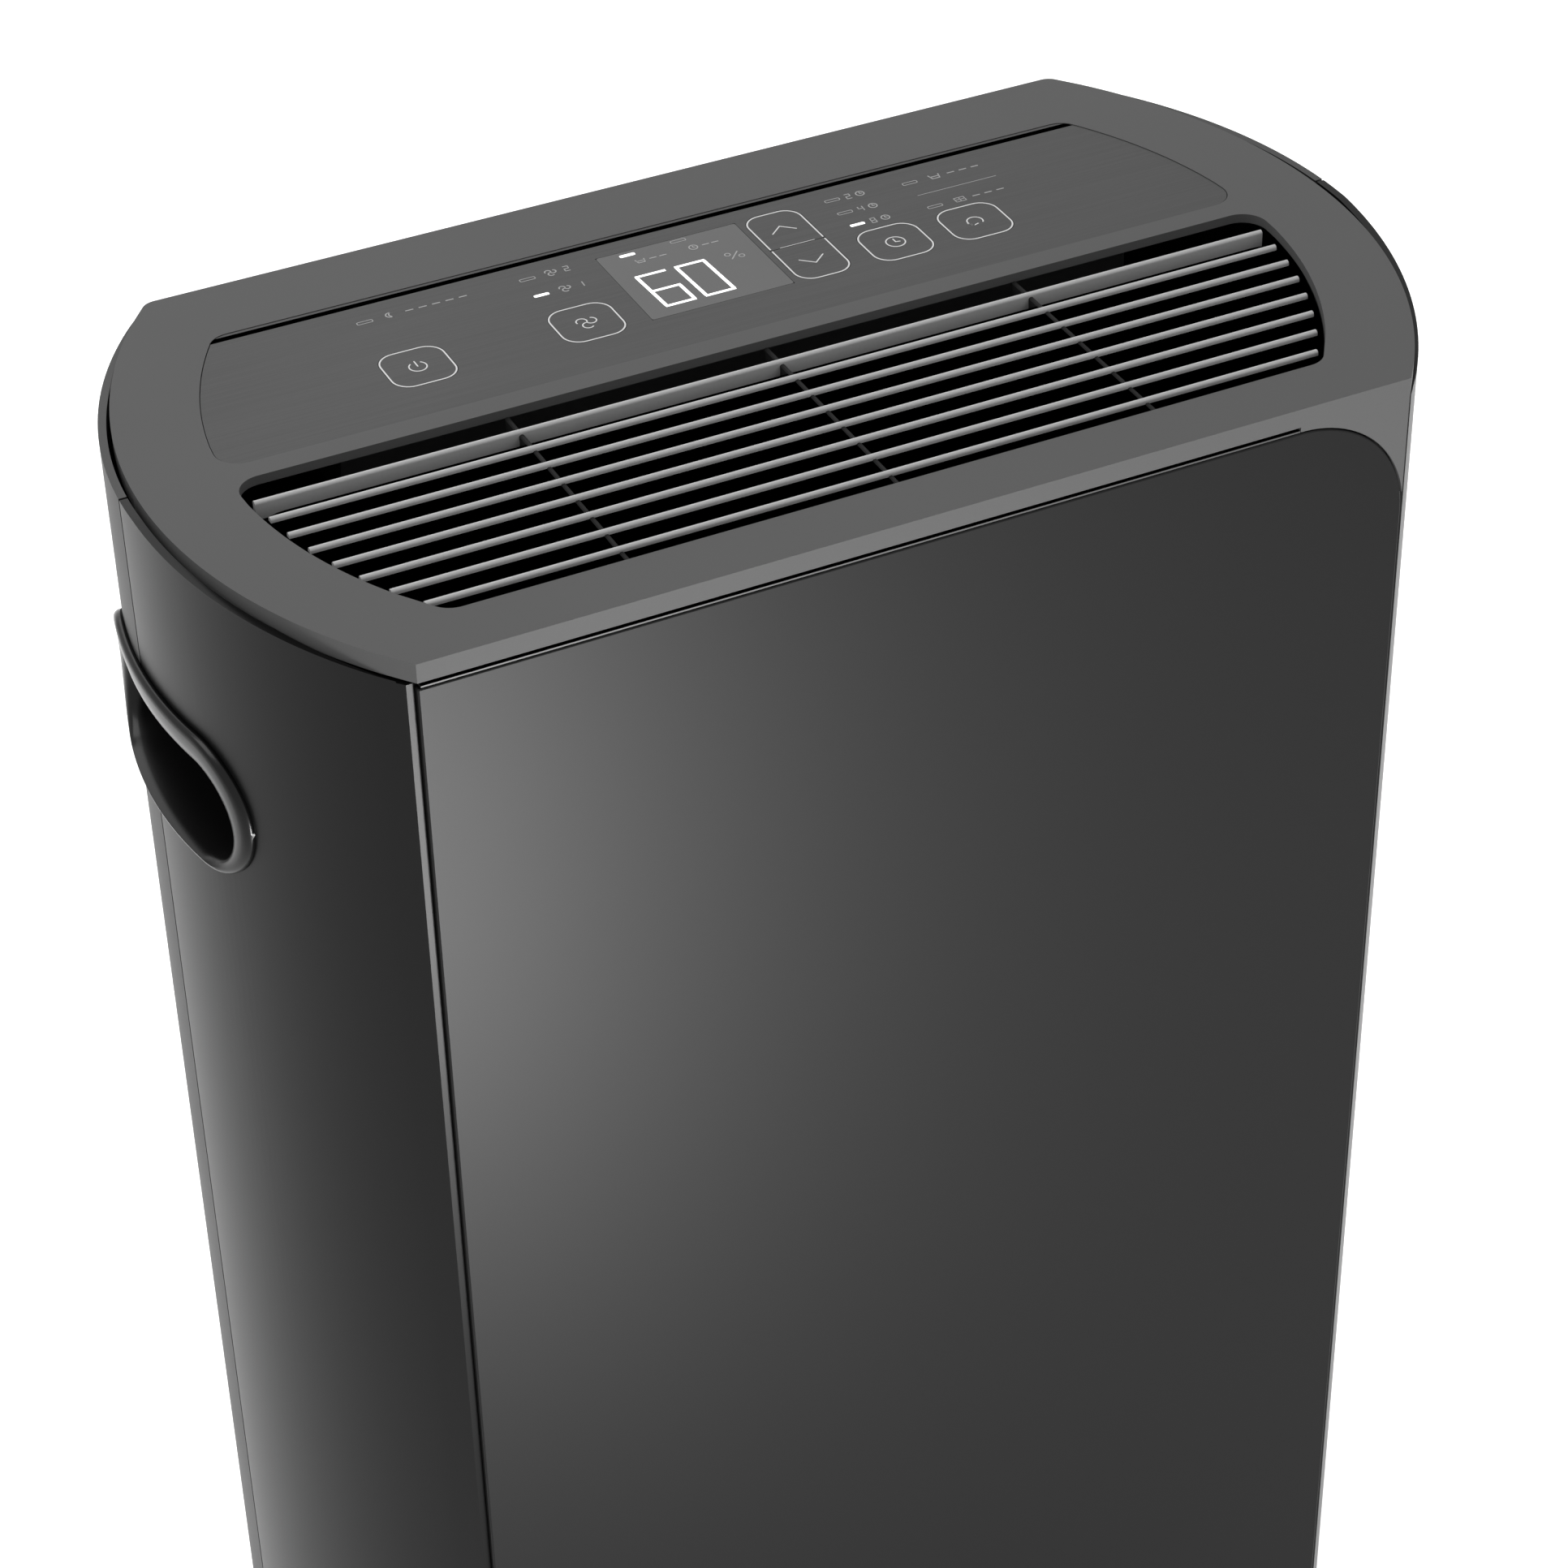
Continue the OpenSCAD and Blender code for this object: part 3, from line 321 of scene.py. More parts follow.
def add_bump(tree, bsdf, height, strength, distance):
    bump = tree.nodes.new("ShaderNodeBump")
    bump.inputs["Strength"].default_value = strength
    bump.inputs["Distance"].default_value = distance
    tree.links.new(height, bump.inputs["Height"])
    tree.links.new(bump.outputs["Normal"], bsdf.inputs["Normal"])


def surface(name, colour, rough, metal=0.0, specular=0.5, grain=900.0, vary=0.06, bump=0.1,
            rough_vary=0.06, stretch=(1, 1, 1), coat=0.0, coat_rough=0.05, depth=0.00006):
    """Moulded, painted or rolled surface: mottled colour and roughness, and a fine grain."""
    mat, tree, bsdf = nodes_of(name)
    base = srgb(colour)
    dark = tuple(c * (1 - vary) for c in base[:3]) + (1,)
    light = tuple(min(1, c * (1 + vary)) for c in base[:3]) + (1,)
    fine = noise(tree, grain, 3, stretch)
    broad = noise(tree, 9, 2)
    tree.links.new(mix_colour(tree, fine, dark, light), bsdf.inputs["Base Color"])
    tree.links.new(spread(tree, broad, rough - rough_vary, rough + rough_vary), bsdf.inputs["Roughness"])
    bsdf.inputs["Metallic"].default_value = metal
    bsdf.inputs["Specular IOR Level"].default_value = specular
    bsdf.inputs["Coat Weight"].default_value = coat
    bsdf.inputs["Coat Roughness"].default_value = coat_rough
    if bump:
        add_bump(tree, bsdf, fine, bump, depth)
    return mat


def glowing(name, colour, strength):
    mat, tree, bsdf = nodes_of(name)
    bsdf.inputs["Base Color"].default_value = srgb(colour)
    bsdf.inputs["Emission Strength"].default_value = strength
    flicker = mix_colour(tree, noise(tree, 600, 1), srgb(colour), srgb(min(255, colour + 12)))
    tree.links.new(flicker, bsdf.inputs["Emission Color"])
    return mat


MAT = {
    "cover": surface("cover_grey", 78, 0.6, specular=0.16, grain=2600, vary=0.05, bump=0.12),
    # grille_grey's light grey 165 is a painted highlight: it stands in for the light along the bars' rounded
    # tops, on bars that look dark grey.
    "grille": surface("grille_grey", 165, 0.42, specular=0.5, grain=1500),
    # Near-black 16 is painted shade: the darkness of the deep vent gaps, put on the vent lining and its ribs.
    "vent_painted_shade": surface("vent_painted_shade", 16, 0.7, specular=0.15),
    "panel": surface("panel_metal", 14, 0.4, metal=0.0, specular=0.13, grain=5200, vary=0.16,
                     bump=0.05, rough_vary=0.01),
    "gloss": surface("gloss_black", 14, 0.3, specular=0.1, grain=60, vary=0.02, bump=0.03,
                     rough_vary=0.02),
    "rear": surface("rear_black", 34, 0.5, specular=0.35, grain=2400, bump=0.2),
    "base": surface("base_black", 26, 0.55, specular=0.3, grain=2400, bump=0.2),
    "handle": surface("handle_black", 10, 0.25, specular=0.2, grain=60, bump=0.02, rough_vary=0.02),
    "brushed": surface("brushed_dark", 56, 0.5, metal=0.2, specular=0.25, grain=1300, vary=0.3,
                       stretch=(0.012, 1, 1), bump=0.12, rough_vary=0.03),
    "window": surface("smoked_window", 34, 0.3, specular=0.4, grain=90, vary=0.02, bump=0),
    "print": surface("print_grey", 200, 0.5, specular=0.2, grain=3000, vary=0.1, bump=0),
    "print_dim": surface("print_dim", 150, 0.5, specular=0.2, grain=3000, vary=0.1, bump=0),
    "inner": surface("inner_plastic", 48, 0.5, grain=1500, bump=0.15),
    "board": surface("board_green", (24, 82, 48), 0.35, grain=700, vary=0.2),
    "net": surface("mesh_grey", 120, 0.6, grain=4000, vary=0.2),
    "fins": surface("fin_aluminium", 190, 0.35, metal=1.0, grain=400, stretch=(1, 1, 0.1)),
    "copper": surface("copper", (196, 118, 70), 0.3, metal=1.0, grain=120, vary=0.15),
    "steel": surface("steel_bright", 170, 0.3, metal=1.0, grain=800, stretch=(1, 0.1, 1)),
    "enamel": surface("compressor_black", 24, 0.3, grain=160, bump=0.2),
    "rubber": surface("soft_rubber", 34, 0.8, specular=0.2, grain=1800, bump=0.3),
    "foam": surface("float_foam", (216, 212, 200), 0.8, grain=900, bump=0.4),
    "white": surface("white_plastic", (214, 210, 202), 0.45, grain=1200),
    "castor": surface("castor_grey", 60, 0.45, grain=1400, bump=0.15),
    "tread": surface("castor_tread", 30, 0.65, grain=1400, bump=0.3),
}
LIT = glowing("lit_white", 235, 0.95)
SLOT_MATERIAL = {
    "cover_grey": "cover", "grille_grey": "grille", "panel_metal": "panel", "gloss_black": "gloss",
    "rear_black": "rear", "base_black": "base", "handle_black": "handle", "brushed_dark": "brushed",
    "smoked_window": "window", "light_pipe": "print", "inner_plastic": "inner",
    "board_green": "board", "mesh_grey": "net", "fin_aluminium": "fins", "copper": "copper",
    "steel_bright": "steel", "compressor_black": "enamel", "soft_rubber": "rubber",
    "float_foam": "foam", "white_plastic": "white", "castor_grey": "castor",
    "castor_tread": "tread",
}


def dress_cad_nodes():
    for part in frame["record"]["subparts"]:
        obj = NODES[part["node"]]
        obj.data.materials.clear()
        obj.data.materials.append(MAT[SLOT_MATERIAL[part["material_slot"]]])


# ---- Casings ----

def deck_field(y0, y1, grow=0.0):
    return plan(COVER_BULGE, DECK_BORDER - grow, y0 - grow, y1 + grow, DECK_CORNER + grow)


def key_outline(x, grow=0.0):
    return rounded_rect(KEY_W + 2 * grow, KEY_W + 2 * grow, KEY_R + grow, x, KEY_Y)


def node_outline_keys(grow):
    """Outlines of the four square keys and the rocker, from the CAD keys' boxes."""
    outlines = []
    for name in ("key_power", "key_fan", "key_timer", "key_reset"):
        low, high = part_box(name)
        outlines.append(key_outline((low.x + high.x) / 2, grow))
    low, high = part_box("key_down")[0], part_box("key_up")[1]
    centre = (low + high) / 2
    size = high - low
    outlines.append(rounded_rect(size.x + 2 * grow, size.y + 2 * grow, KEY_R + grow, centre.x, centre.y))
    return outlines


def ear_outline(grow):
    """Corner of the front face beyond the panel's rounded corner, in x and z."""
    cx, cz = FRONT_W / 2 - EAR_R, PANEL_HIGH.z - EAR_R
    r = EAR_R + grow
    top = TOP - COVER_T + 1 * MM
    right = FRONT_W / 2
    end = math.acos(min(1.0, EAR_R / r))
    arc = [end + (math.pi / 2 - end) * k / 24 for k in range(25)]
    curve = [(cx + r * math.cos(a), cz + r * math.sin(a)) for a in reversed(arc)]
    return [(cx, top)] + curve + [(right, top)]


def top_cover():
    base = prism(plan(COVER_BULGE, back_corner=BACK_CORNER), TOP - COVER_T, TOP)
    ear = prism(ear_outline(0.5 * MM), FRONT, FRONT + PANEL_T, "y")
    cuts = [
        prism(deck_field(FIELD_FRONT, FIELD_BACK), FACE - 1.2 * MM, TOP + MM),
        prism(deck_field(VENT_FRONT, VENT_BACK), TOP - 2.1 * COVER_T, TOP + 2 * MM),
        prism(plan(COVER_BULGE, 3 * MM), TOP - COVER_T - MM, TOP - DECK_T),
    ]
    cuts += [prism(o, TOP - 2 * COVER_T, TOP - 0.3 * MM) for o in node_outline_keys(0.2 * MM)]
    carved("top_cover_shell", base, cuts, [ear], bevel=0.55 * MM, segments=3, angle=40,
           material=MAT["cover"], replaces=["top_cover"], slot="cover_grey")


def grille_bars():
    bm = bmesh.new()
    bar_top = TOP - 1.5 * MM
    low = TOP - 12.5 * MM
    half = BAR_W / 2
    for i in range(1, BAR_COUNT + 1):
        y = VENT_BACK - i * BAR_PITCH
        end = half_at(COVER_BULGE, y, DECK_BORDER) - 3 * MM
        round_top = [(y + half * math.cos(math.pi * k / 8), bar_top - half + half * math.sin(math.pi * k / 8))
                     for k in range(9)]
        profile = [(y + half, low)] + round_top + [(y - half, low)]
        prism_mesh(bm, profile, -end, end, "x")
    # The bars' light grey is a painted highlight standing in for the light along their rounded tops.
    new_object("grille_bars", bm, MAT["grille"], replaces=["outlet_grille"], slot="grille_grey",
               smooth=40)
    bm = bmesh.new()
    # The ribs are near black: painted shade of the deep vent gaps.
    for i in (-1, 0, 1):
        x = i * RIB_PITCH
        outline = [(x - 0.8 * MM, low), (x + 0.8 * MM, low), (x + 0.8 * MM, bar_top - 1.6 * MM),
                   (x + 0.4 * MM, bar_top - 1.2 * MM), (x - 0.4 * MM, bar_top - 1.2 * MM),
                   (x - 0.8 * MM, bar_top - 1.6 * MM)]
        prism_mesh(bm, outline, VENT_FRONT + 0.2 * MM, VENT_BACK - 0.2 * MM, "y")
    new_object("grille_ribs", bm, MAT["vent_painted_shade"], slot="grille_grey")
    # The vent lining is near black: painted shade of the deep vent gaps.
    ring = prism(deck_field(VENT_FRONT, VENT_BACK, 4 * MM), TOP - 13 * MM, TOP - DECK_T - 0.05 * MM)
    carved("grille_ring", ring, [prism(deck_field(VENT_FRONT, VENT_BACK, -0.2 * MM), TOP - 14 * MM, TOP)],
           material=MAT["vent_painted_shade"], slot="grille_grey")


def front_panel():
    cx, cz = FRONT_W / 2 - EAR_R, PANEL_HIGH.z - EAR_R
    left = -FRONT_W / 2
    arc = [math.pi / 2 * k / 32 for k in range(33)]
    outline = [(left, PANEL_LOW.z), (FRONT_W / 2, PANEL_LOW.z)]
    outline += [(cx + EAR_R * math.cos(a), cz + EAR_R * math.sin(a)) for a in arc]
    outline += [(left, PANEL_HIGH.z)]
    carved("front_panel_skin", prism(outline, FRONT, FRONT + PANEL_T, "y"), bevel=0.6 * MM, segments=4,
           angle=40, material=MAT["panel"], replaces=["front_panel"], slot="panel_metal")


def front_lip():
    """Thin top edge of the carrier, which ends where the panel's corner starts to round."""
    cx = FRONT_W / 2 - EAR_R
    low, high = PANEL_HIGH.z + 0.25 * MM, UNDER
    left = -FRONT_W / 2 + 1 * MM
    outline = [(left, low), (cx, low), (cx, high), (left, high)]
    carved("carrier_lip", prism(outline, FRONT + 0.35 * MM, FRONT + PANEL_T, "y"), bevel=0.15 * MM,
           material=MAT["cover"], slot="inner_plastic")


def side_slope():
    points = [(FRONT - MM, RIM - 6.5 * MM), (-5 * MM, RIM), (-5 * MM, TOP + MM), (FRONT - MM, TOP + MM)]
    return prism(points, -FRONT_W, FRONT_W, "x")


def slab_between(y0, y1):
    return prism([(-FRONT_W, y0), (FRONT_W, y0), (FRONT_W, y1), (-FRONT_W, y1)], -MM, TOP + 10 * MM)


def handle_cut(side):
    outline = stadium(94.6 * MM, 37.1 * MM, 0, GRIP_Z)
    x0, x1 = sorted((side * (HALF_BODY - 40 * MM), side * (HALF_BODY + 10 * MM)))
    return prism(outline, x0, x1, "x")


def shell():
    return prism(plan(SIDE_BULGE, back_corner=BACK_CORNER), CABINET_LOW, RIM)


def shell_cuts():
    return [prism(plan(SIDE_BULGE, WALL), CABINET_LOW - MM, TOP),
            prism(plan(COVER_BULGE, -0.35 * MM, FRONT - MM, BACK + MM), UNDER, TOP + MM),
            side_slope(), handle_cut(-1), handle_cut(1)]


def front_cabinet():
    cuts = shell_cuts() + [slab_between(FRONT - 10 * MM, FRONT + PANEL_T + 0.05 * MM),
                           slab_between(SEAM_Y - 0.45 * MM, BACK + 10 * MM)]
    carved("front_cabinet_sides", shell(), cuts, bevel=0.5 * MM, segments=3, angle=40,
           material=MAT["gloss"], replaces=["front_cabinet"], slot="gloss_black")


def box_prism(low, high):
    bm = bmesh.new()
    box_mesh(bm, low, high)
    return bm


def rear_cabinet():
    filter_low, filter_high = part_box("filter_frame")
    bucket_low, bucket_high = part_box("bucket")
    door_low, door_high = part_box("drain_door")
    gland_low, gland_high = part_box("cord_gland")
    gap = 0.5 * MM
    far = BACK + 10 * MM
    cuts = shell_cuts() + [slab_between(FRONT - 10 * MM, SEAM_Y + 0.45 * MM)]
    for low, high in ((filter_low, filter_high), (bucket_low, bucket_high)):
        outline = rounded_rect(high.x - low.x + 2 * gap, high.z - low.z + 2 * gap, 2 * MM,
                               (low.x + high.x) / 2, (low.z + high.z) / 2, 5)
        cuts.append(prism(outline, 50 * MM, far, "y"))
    x = (door_low.x + door_high.x) / 2
    door_z = (door_low.z + door_high.z) / 2 + 0.6 * MM
    door = rounded_rect(34 * MM, 26 * MM, 1.2 * MM, x, door_z, 4)
    cuts.append(prism(door, 80 * MM, far, "y"))
    gz = (gland_low.z + gland_high.z) / 2
    cuts.append(prism(circle(7 * MM, -x, gz), 80 * MM, far, "y"))
    screw_low, screw_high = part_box("cabinet_screws")
    for sx in (-1, 1):
        for z in (screw_low.z + SCREW_HEAD_R, screw_high.z - SCREW_HEAD_R):
            hole = circle(4.2 * MM, sx * (screw_high.x - SCREW_HEAD_R), z)
            cuts.append(prism(hole, BACK - 1.5 * MM, far, "y"))
    carved("rear_cabinet_shell", shell(), cuts, bevel=0.5 * MM, segments=3, angle=40,
           material=MAT["rear"], replaces=["rear_cabinet"], slot="rear_black")


def handle(side):
    """Hand grip: a rim that stands proud, rolls over into a deep pocket, and is thick at the top."""
    name = "handle_left" if side < 0 else "handle_right"
    radius, centre_x = arc_r(SIDE_BULGE), arc_x(SIDE_BULGE)
    # length and height in mm, centre z, millimetres above the side wall
    rings = [
        (110, 47, HANDLE_Z, 0.02), (110, 47, HANDLE_Z, 1.2), (109.2, 46.2, HANDLE_Z, 2.1),
        (107.6, 44.8, HANDLE_Z, 2.65), (105.2, 42.8, HANDLE_Z - 0.4 * MM, 2.78),
        (100.5, 39.4, HANDLE_Z - 2.0 * MM, 2.5), (96.0, 36.4, HANDLE_Z - 3.4 * MM, 1.9),
        (92.6, 34.2, HANDLE_Z - 4.2 * MM, 0.9), (90.8, 33.0, GRIP_Z, -0.6),
        (90.0, 32.5, GRIP_Z, -3.0), (90.0, 32.5, GRIP_Z, -12.0), (90.0, 32.5, GRIP_Z, -27.0),
        (88.0, 30.5, GRIP_Z, -29.0), (84.0, 26.5, GRIP_Z, -29.9),
    ]
    bm = bmesh.new()
    loops = []
    for length, height, cz, proud in rings:
        outline = stadium(length * MM, height * MM, 0, cz, 24)
        loop = []
        for y, z in outline:
            if proud > -5:
                x = centre_x + math.sqrt((radius + proud * MM) ** 2 - y * y)
            else:
                deep = (-proud - 5) / 25
                curved = centre_x + math.sqrt((radius + proud * MM) ** 2 - y * y)
                x = curved * (1 - deep) + (HALF_BODY + proud * MM) * deep
            loop.append(bm.verts.new((side * x, y, z)))
        loops.append(loop)
    count = len(loops[0])
    for a, b in zip(loops, loops[1:]):
        for i in range(count):
            k = (i + 1) % count
            bm.faces.new((a[i], a[k], b[k], b[i]))
    bm.faces.new(loops[-1])
    bmesh.ops.recalc_face_normals(bm, faces=bm.faces)
    centre = Vector((side * (HALF_BODY - POCKET), 0, GRIP_Z))
    floor = min(bm.faces, key=lambda f: (f.calc_center_median() - centre).length)
    if floor.normal.x * side < 0:
        bmesh.ops.reverse_faces(bm, faces=bm.faces)
    obj = new_object(name + "_insert", bm, MAT["handle"], replaces=[name], slot="handle_black", smooth=50)
    mod = obj.modifiers.new("wall", "SOLIDIFY")
    mod.thickness = 1.4 * MM
    mod.offset = -1
    return obj


# ---- Controls ----

def flat(name, outlines, z, thick, material, body, slot=None):
    """Thin printed or inlaid shapes, one for each outline."""
    bm = bmesh.new()
    for outline in outlines:
        prism_mesh(bm, outline, z, z + thick)
    return new_object(name, bm, material, body, slot=slot, smooth=0)


def ring_mesh(bm, outer, inner, z, thick):
    """Closed band between two outlines with as many points."""
    count = len(outer)
    rows = [[bm.verts.new((x, y, h)) for x, y in o] for o, h in
            ((outer, z), (outer, z + thick), (inner, z + thick), (inner, z))]
    for a, b in zip(rows, rows[1:] + rows[:1]):
        for i in range(count):
            k = (i + 1) % count
            bm.faces.new((a[i], a[k], b[k], b[i]))
    bmesh.ops.recalc_face_normals(bm, faces=bm.faces)


def stroke(points, width):
    """Outline of a line of even width through the points (an open polyline)."""
    left, right = [], []
    count = len(points)
    for i, p in enumerate(points):
        p = Vector(p)
        ahead = Vector(points[min(i + 1, count - 1)]) - Vector(points[max(i - 1, 0)])
        if 0 < i < count - 1:
            a = (p - Vector(points[i - 1])).normalized()
            b = (Vector(points[i + 1]) - p).normalized()
            ahead = a + b
            stretch = 1 / max(0.5, math.cos(a.angle(b) / 2))
        else:
            stretch = 1
        n = Vector((-ahead.y, ahead.x)).normalized() * width / 2 * stretch
        left.append(tuple(p + n))
        right.append(tuple(p - n))
    return left + right[::-1]


def arc_points(cx, cy, r, a0, a1, steps=20):
    return [(cx + r * math.cos(math.radians(a0 + (a1 - a0) * k / steps)),
             cy + r * math.sin(math.radians(a0 + (a1 - a0) * k / steps))) for k in range(steps + 1)]


LINE = 0.42 * MM
INK = 0.03 * MM


def icon(kind, cx, cy, s):
    """Strokes of a plain icon, s is its half size."""
    w = LINE
    if kind == "power":
        return [stroke(arc_points(cx, cy, s * 0.8, 125, 415), w), stroke([(cx, cy), (cx, cy + s)], w)]
    if kind == "fan":
        blades = []
        for k in range(3):
            a = k * 120 + 20
            turn = math.radians(a)
            tip = arc_points(cx + 0.5 * s * math.cos(turn), cy + 0.5 * s * math.sin(turn),
                             s * 0.5, a - 180, a + 60, 12)
            blades.append(stroke(tip, w))
        return blades
    if kind == "clock":
        return [stroke(arc_points(cx, cy, s * 0.9, 0, 359, 30), w),
                stroke([(cx, cy + s * 0.6), (cx, cy), (cx + s * 0.45, cy - s * 0.1)], w)]
    if kind == "reset":
        head = [(cx - s * 0.85, cy - s * 0.1), (cx - s * 0.4, cy - s * 0.65), (cx + 0.1 * s, cy - s * 0.5)]
        return [stroke(arc_points(cx, cy, s * 0.75, -40, 240), w), stroke(head, w)]
    if kind == "up":
        return [stroke([(cx - s, cy - s * 0.45), (cx, cy + s * 0.45), (cx + s, cy - s * 0.45)], w)]
    if kind == "down":
        return [stroke([(cx - s, cy + s * 0.45), (cx, cy - s * 0.45), (cx + s, cy + s * 0.45)], w)]
    if kind == "bucket":
        return [stroke([(cx - s, cy + s * 0.7), (cx - s * 0.7, cy - s * 0.7), (cx + s * 0.7, cy - s * 0.7),
                        (cx + s, cy + s * 0.7)], w), stroke([(cx - s * 0.85, cy), (cx + s * 0.85, cy)], w)]
    if kind == "net":
        lines = [stroke([(cx - s, cy + s * t), (cx + s, cy + s * t)], w * 0.8) for t in (-0.7, 0, 0.7)]
        for t in (-0.95, 0, 0.95):
            lines.append(stroke([(cx + s * t, cy - s * 0.7), (cx + s * t, cy + s * 0.7)], w * 0.8))
        return lines
    if kind == "moon":
        return [stroke(arc_points(cx, cy, s * 0.8, 60, 300, 16), w),
                stroke(arc_points(cx + s * 0.55, cy, s * 0.75, 100, 260, 12), w)]
    return []


SEGMENTS = {"a": (0, 2, 1, 2), "b": (1, 1, 1, 2), "c": (1, 0, 1, 1), "d": (0, 0, 1, 0),
            "e": (0, 0, 0, 1), "f": (0, 1, 0, 2), "g": (0, 1, 1, 1)}
DIGITS = {"0": "abcdef", "1": "bc", "2": "abged", "4": "fgbc", "6": "afgedc", "8": "abcdefg"}


def digit(text, cx, cy, w, h, width, slant=0.06):
    """Strokes of seven-segment digits, centred at (cx, cy)."""
    out = []
    advance = w * 1.42
    for n, char in enumerate(text):
        x0 = cx - (len(text) - 1) * advance / 2 - w / 2 + n * advance
        for s in DIGITS[char]:
            ax, ay, bx, by = SEGMENTS[s]
            gap = width * 0.12
            dx, dy = (bx - ax), (by - ay)
            p = [x0 + ax * w + dx * gap, cy - h / 2 + ay * h / 2 + dy * gap]
            q = [x0 + bx * w - dx * gap, cy - h / 2 + by * h / 2 - dy * gap]
            p[0] += (p[1] - cy) * slant
            q[0] += (q[1] - cy) * slant
            if dx:
                p[0] -= width / 2
                q[0] += width / 2
            out.append(stroke([tuple(p), tuple(q)], width))
    return out


def overlay():
    z0 = FACE - 1.2 * MM
    base = prism(deck_field(FIELD_FRONT, FIELD_BACK, -0.25 * MM), z0, FACE)
    cuts = [prism(o, z0 - MM, TOP + MM) for o in node_outline_keys(0.12 * MM)]
    low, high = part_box("display_window")
    cuts.append(box_prism(Vector((low.x, low.y, z0 - MM)), Vector((high.x, high.y, TOP + MM))))
    carved("overlay_plate", base, cuts, bevel=0.18 * MM, segments=2, angle=40, material=MAT["brushed"],
           replaces=["control_overlay", "indicator_lenses"], slot="brushed_dark")
    inset = 0.08 * MM
    outline = rounded_rect(high.x - low.x - 2 * inset, high.y - low.y - 2 * inset, 0.8 * MM,
                           (low.x + high.x) / 2, (low.y + high.y) / 2, 4)
    carved("window_pane", prism(outline, z0, FACE + 0.02 * MM), bevel=0.12 * MM, segments=2,
           material=MAT["window"], replaces=["display_window"], slot="smoked_window")


def key(name, outline, line_outer, line_inner, icons):
    """A key cap in the overlay's own finish, with its outline and icon printed on it."""
    low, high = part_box(name)
    body = name
    cap = carved(name + "_cap", prism(outline, high.z - 2.4 * MM, high.z), bevel=0.12 * MM, segments=2,
                 material=MAT["brushed"], body=body, replaces=[name], slot="brushed_dark")
    bm = bmesh.new()
    middle = (low + high) / 2
    stem_top = high.z - 2.3 * MM
    place = Matrix.Translation((middle.x, middle.y, (low.z + stem_top) / 2))
    bmesh.ops.create_cone(bm, cap_ends=True, segments=24, radius1=2.2 * MM, radius2=2.5 * MM,
                          depth=stem_top - low.z, matrix=place)
    new_object(name + "_stem", bm, MAT["inner"], body, slot="brushed_dark")
    bm = bmesh.new()
    if line_outer:
        ring_mesh(bm, line_outer, line_inner, high.z + 0.005 * MM, INK)
    for o in icons:
        prism_mesh(bm, o, high.z + 0.005 * MM, high.z + INK)
    new_object(name + "_print", bm, MAT["print"], body, slot="light_pipe", smooth=0)
    return cap


def keys():
    kinds = {"key_power": "power", "key_fan": "fan", "key_timer": "clock", "key_reset": "reset"}
    for name, kind in kinds.items():
        low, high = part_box(name)
        x, y = (low.x + high.x) / 2, (low.y + high.y) / 2
        outline = rounded_rect(KEY_W, KEY_W, KEY_R, x, y)
        outer = rounded_rect(KEY_W - 0.2 * MM, KEY_W - 0.2 * MM, KEY_R, x, y)
        inner = rounded_rect(KEY_W - 1.2 * MM, KEY_W - 1.2 * MM, KEY_R - 0.5 * MM, x, y)
        key(name, outline, outer, inner, icon(kind, x, y, 3.4 * MM))
    low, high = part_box("key_down")[0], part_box("key_up")[1]
    cx, cy = (low.x + high.x) / 2, (low.y + high.y) / 2
    w, d = high.x - low.x, high.y - low.y
    for name, side, kind in (("key_up", 1, "up"), ("key_down", -1, "down")):
        halves = []
        for shrink in (0.0, 0.4 * MM):
            full = rounded_rect(w - 2 * shrink, d - 2 * shrink, KEY_R - shrink, cx, cy)
            edge = cy + side * (0.1 * MM + shrink)
            half = [(x, y) for x, y in full if (y - edge) * side > 0]
            if side > 0:
                half = [(cx + w / 2 - shrink, edge)] + half + [(cx - w / 2 + shrink, edge)]
            else:
                turn = next(i for i, p in enumerate(half) if p[0] < cx)
                half = half[turn:] + half[:turn]
                half = [(cx - w / 2 + shrink, edge)] + half + [(cx + w / 2 - shrink, edge)]
            halves.append(half)
        lines = [stroke(halves[1], 0.5 * MM)]
        mid = cy + side * 11 * MM
        marks = lines + icon(kind, cx, mid, 4.2 * MM)
        if side > 0:
            y = cy + 0.25 * MM
            marks.append(stroke([(cx - 6 * MM, y), (cx + 6 * MM, y)], 0.25 * MM))
        key(name, halves[0], None, None, marks)


def pill(cx, cy, w=5 * MM, h=1.4 * MM):
    return rounded_rect(w, h, h * 0.3, cx, cy, 3)


def hollow_pill(cx, cy, w=5 * MM, h=1.4 * MM):
    line = 0.28 * MM
    o = rounded_rect(w, h, h * 0.3, cx, cy, 3)
    return [stroke(o + [o[0]], line)]


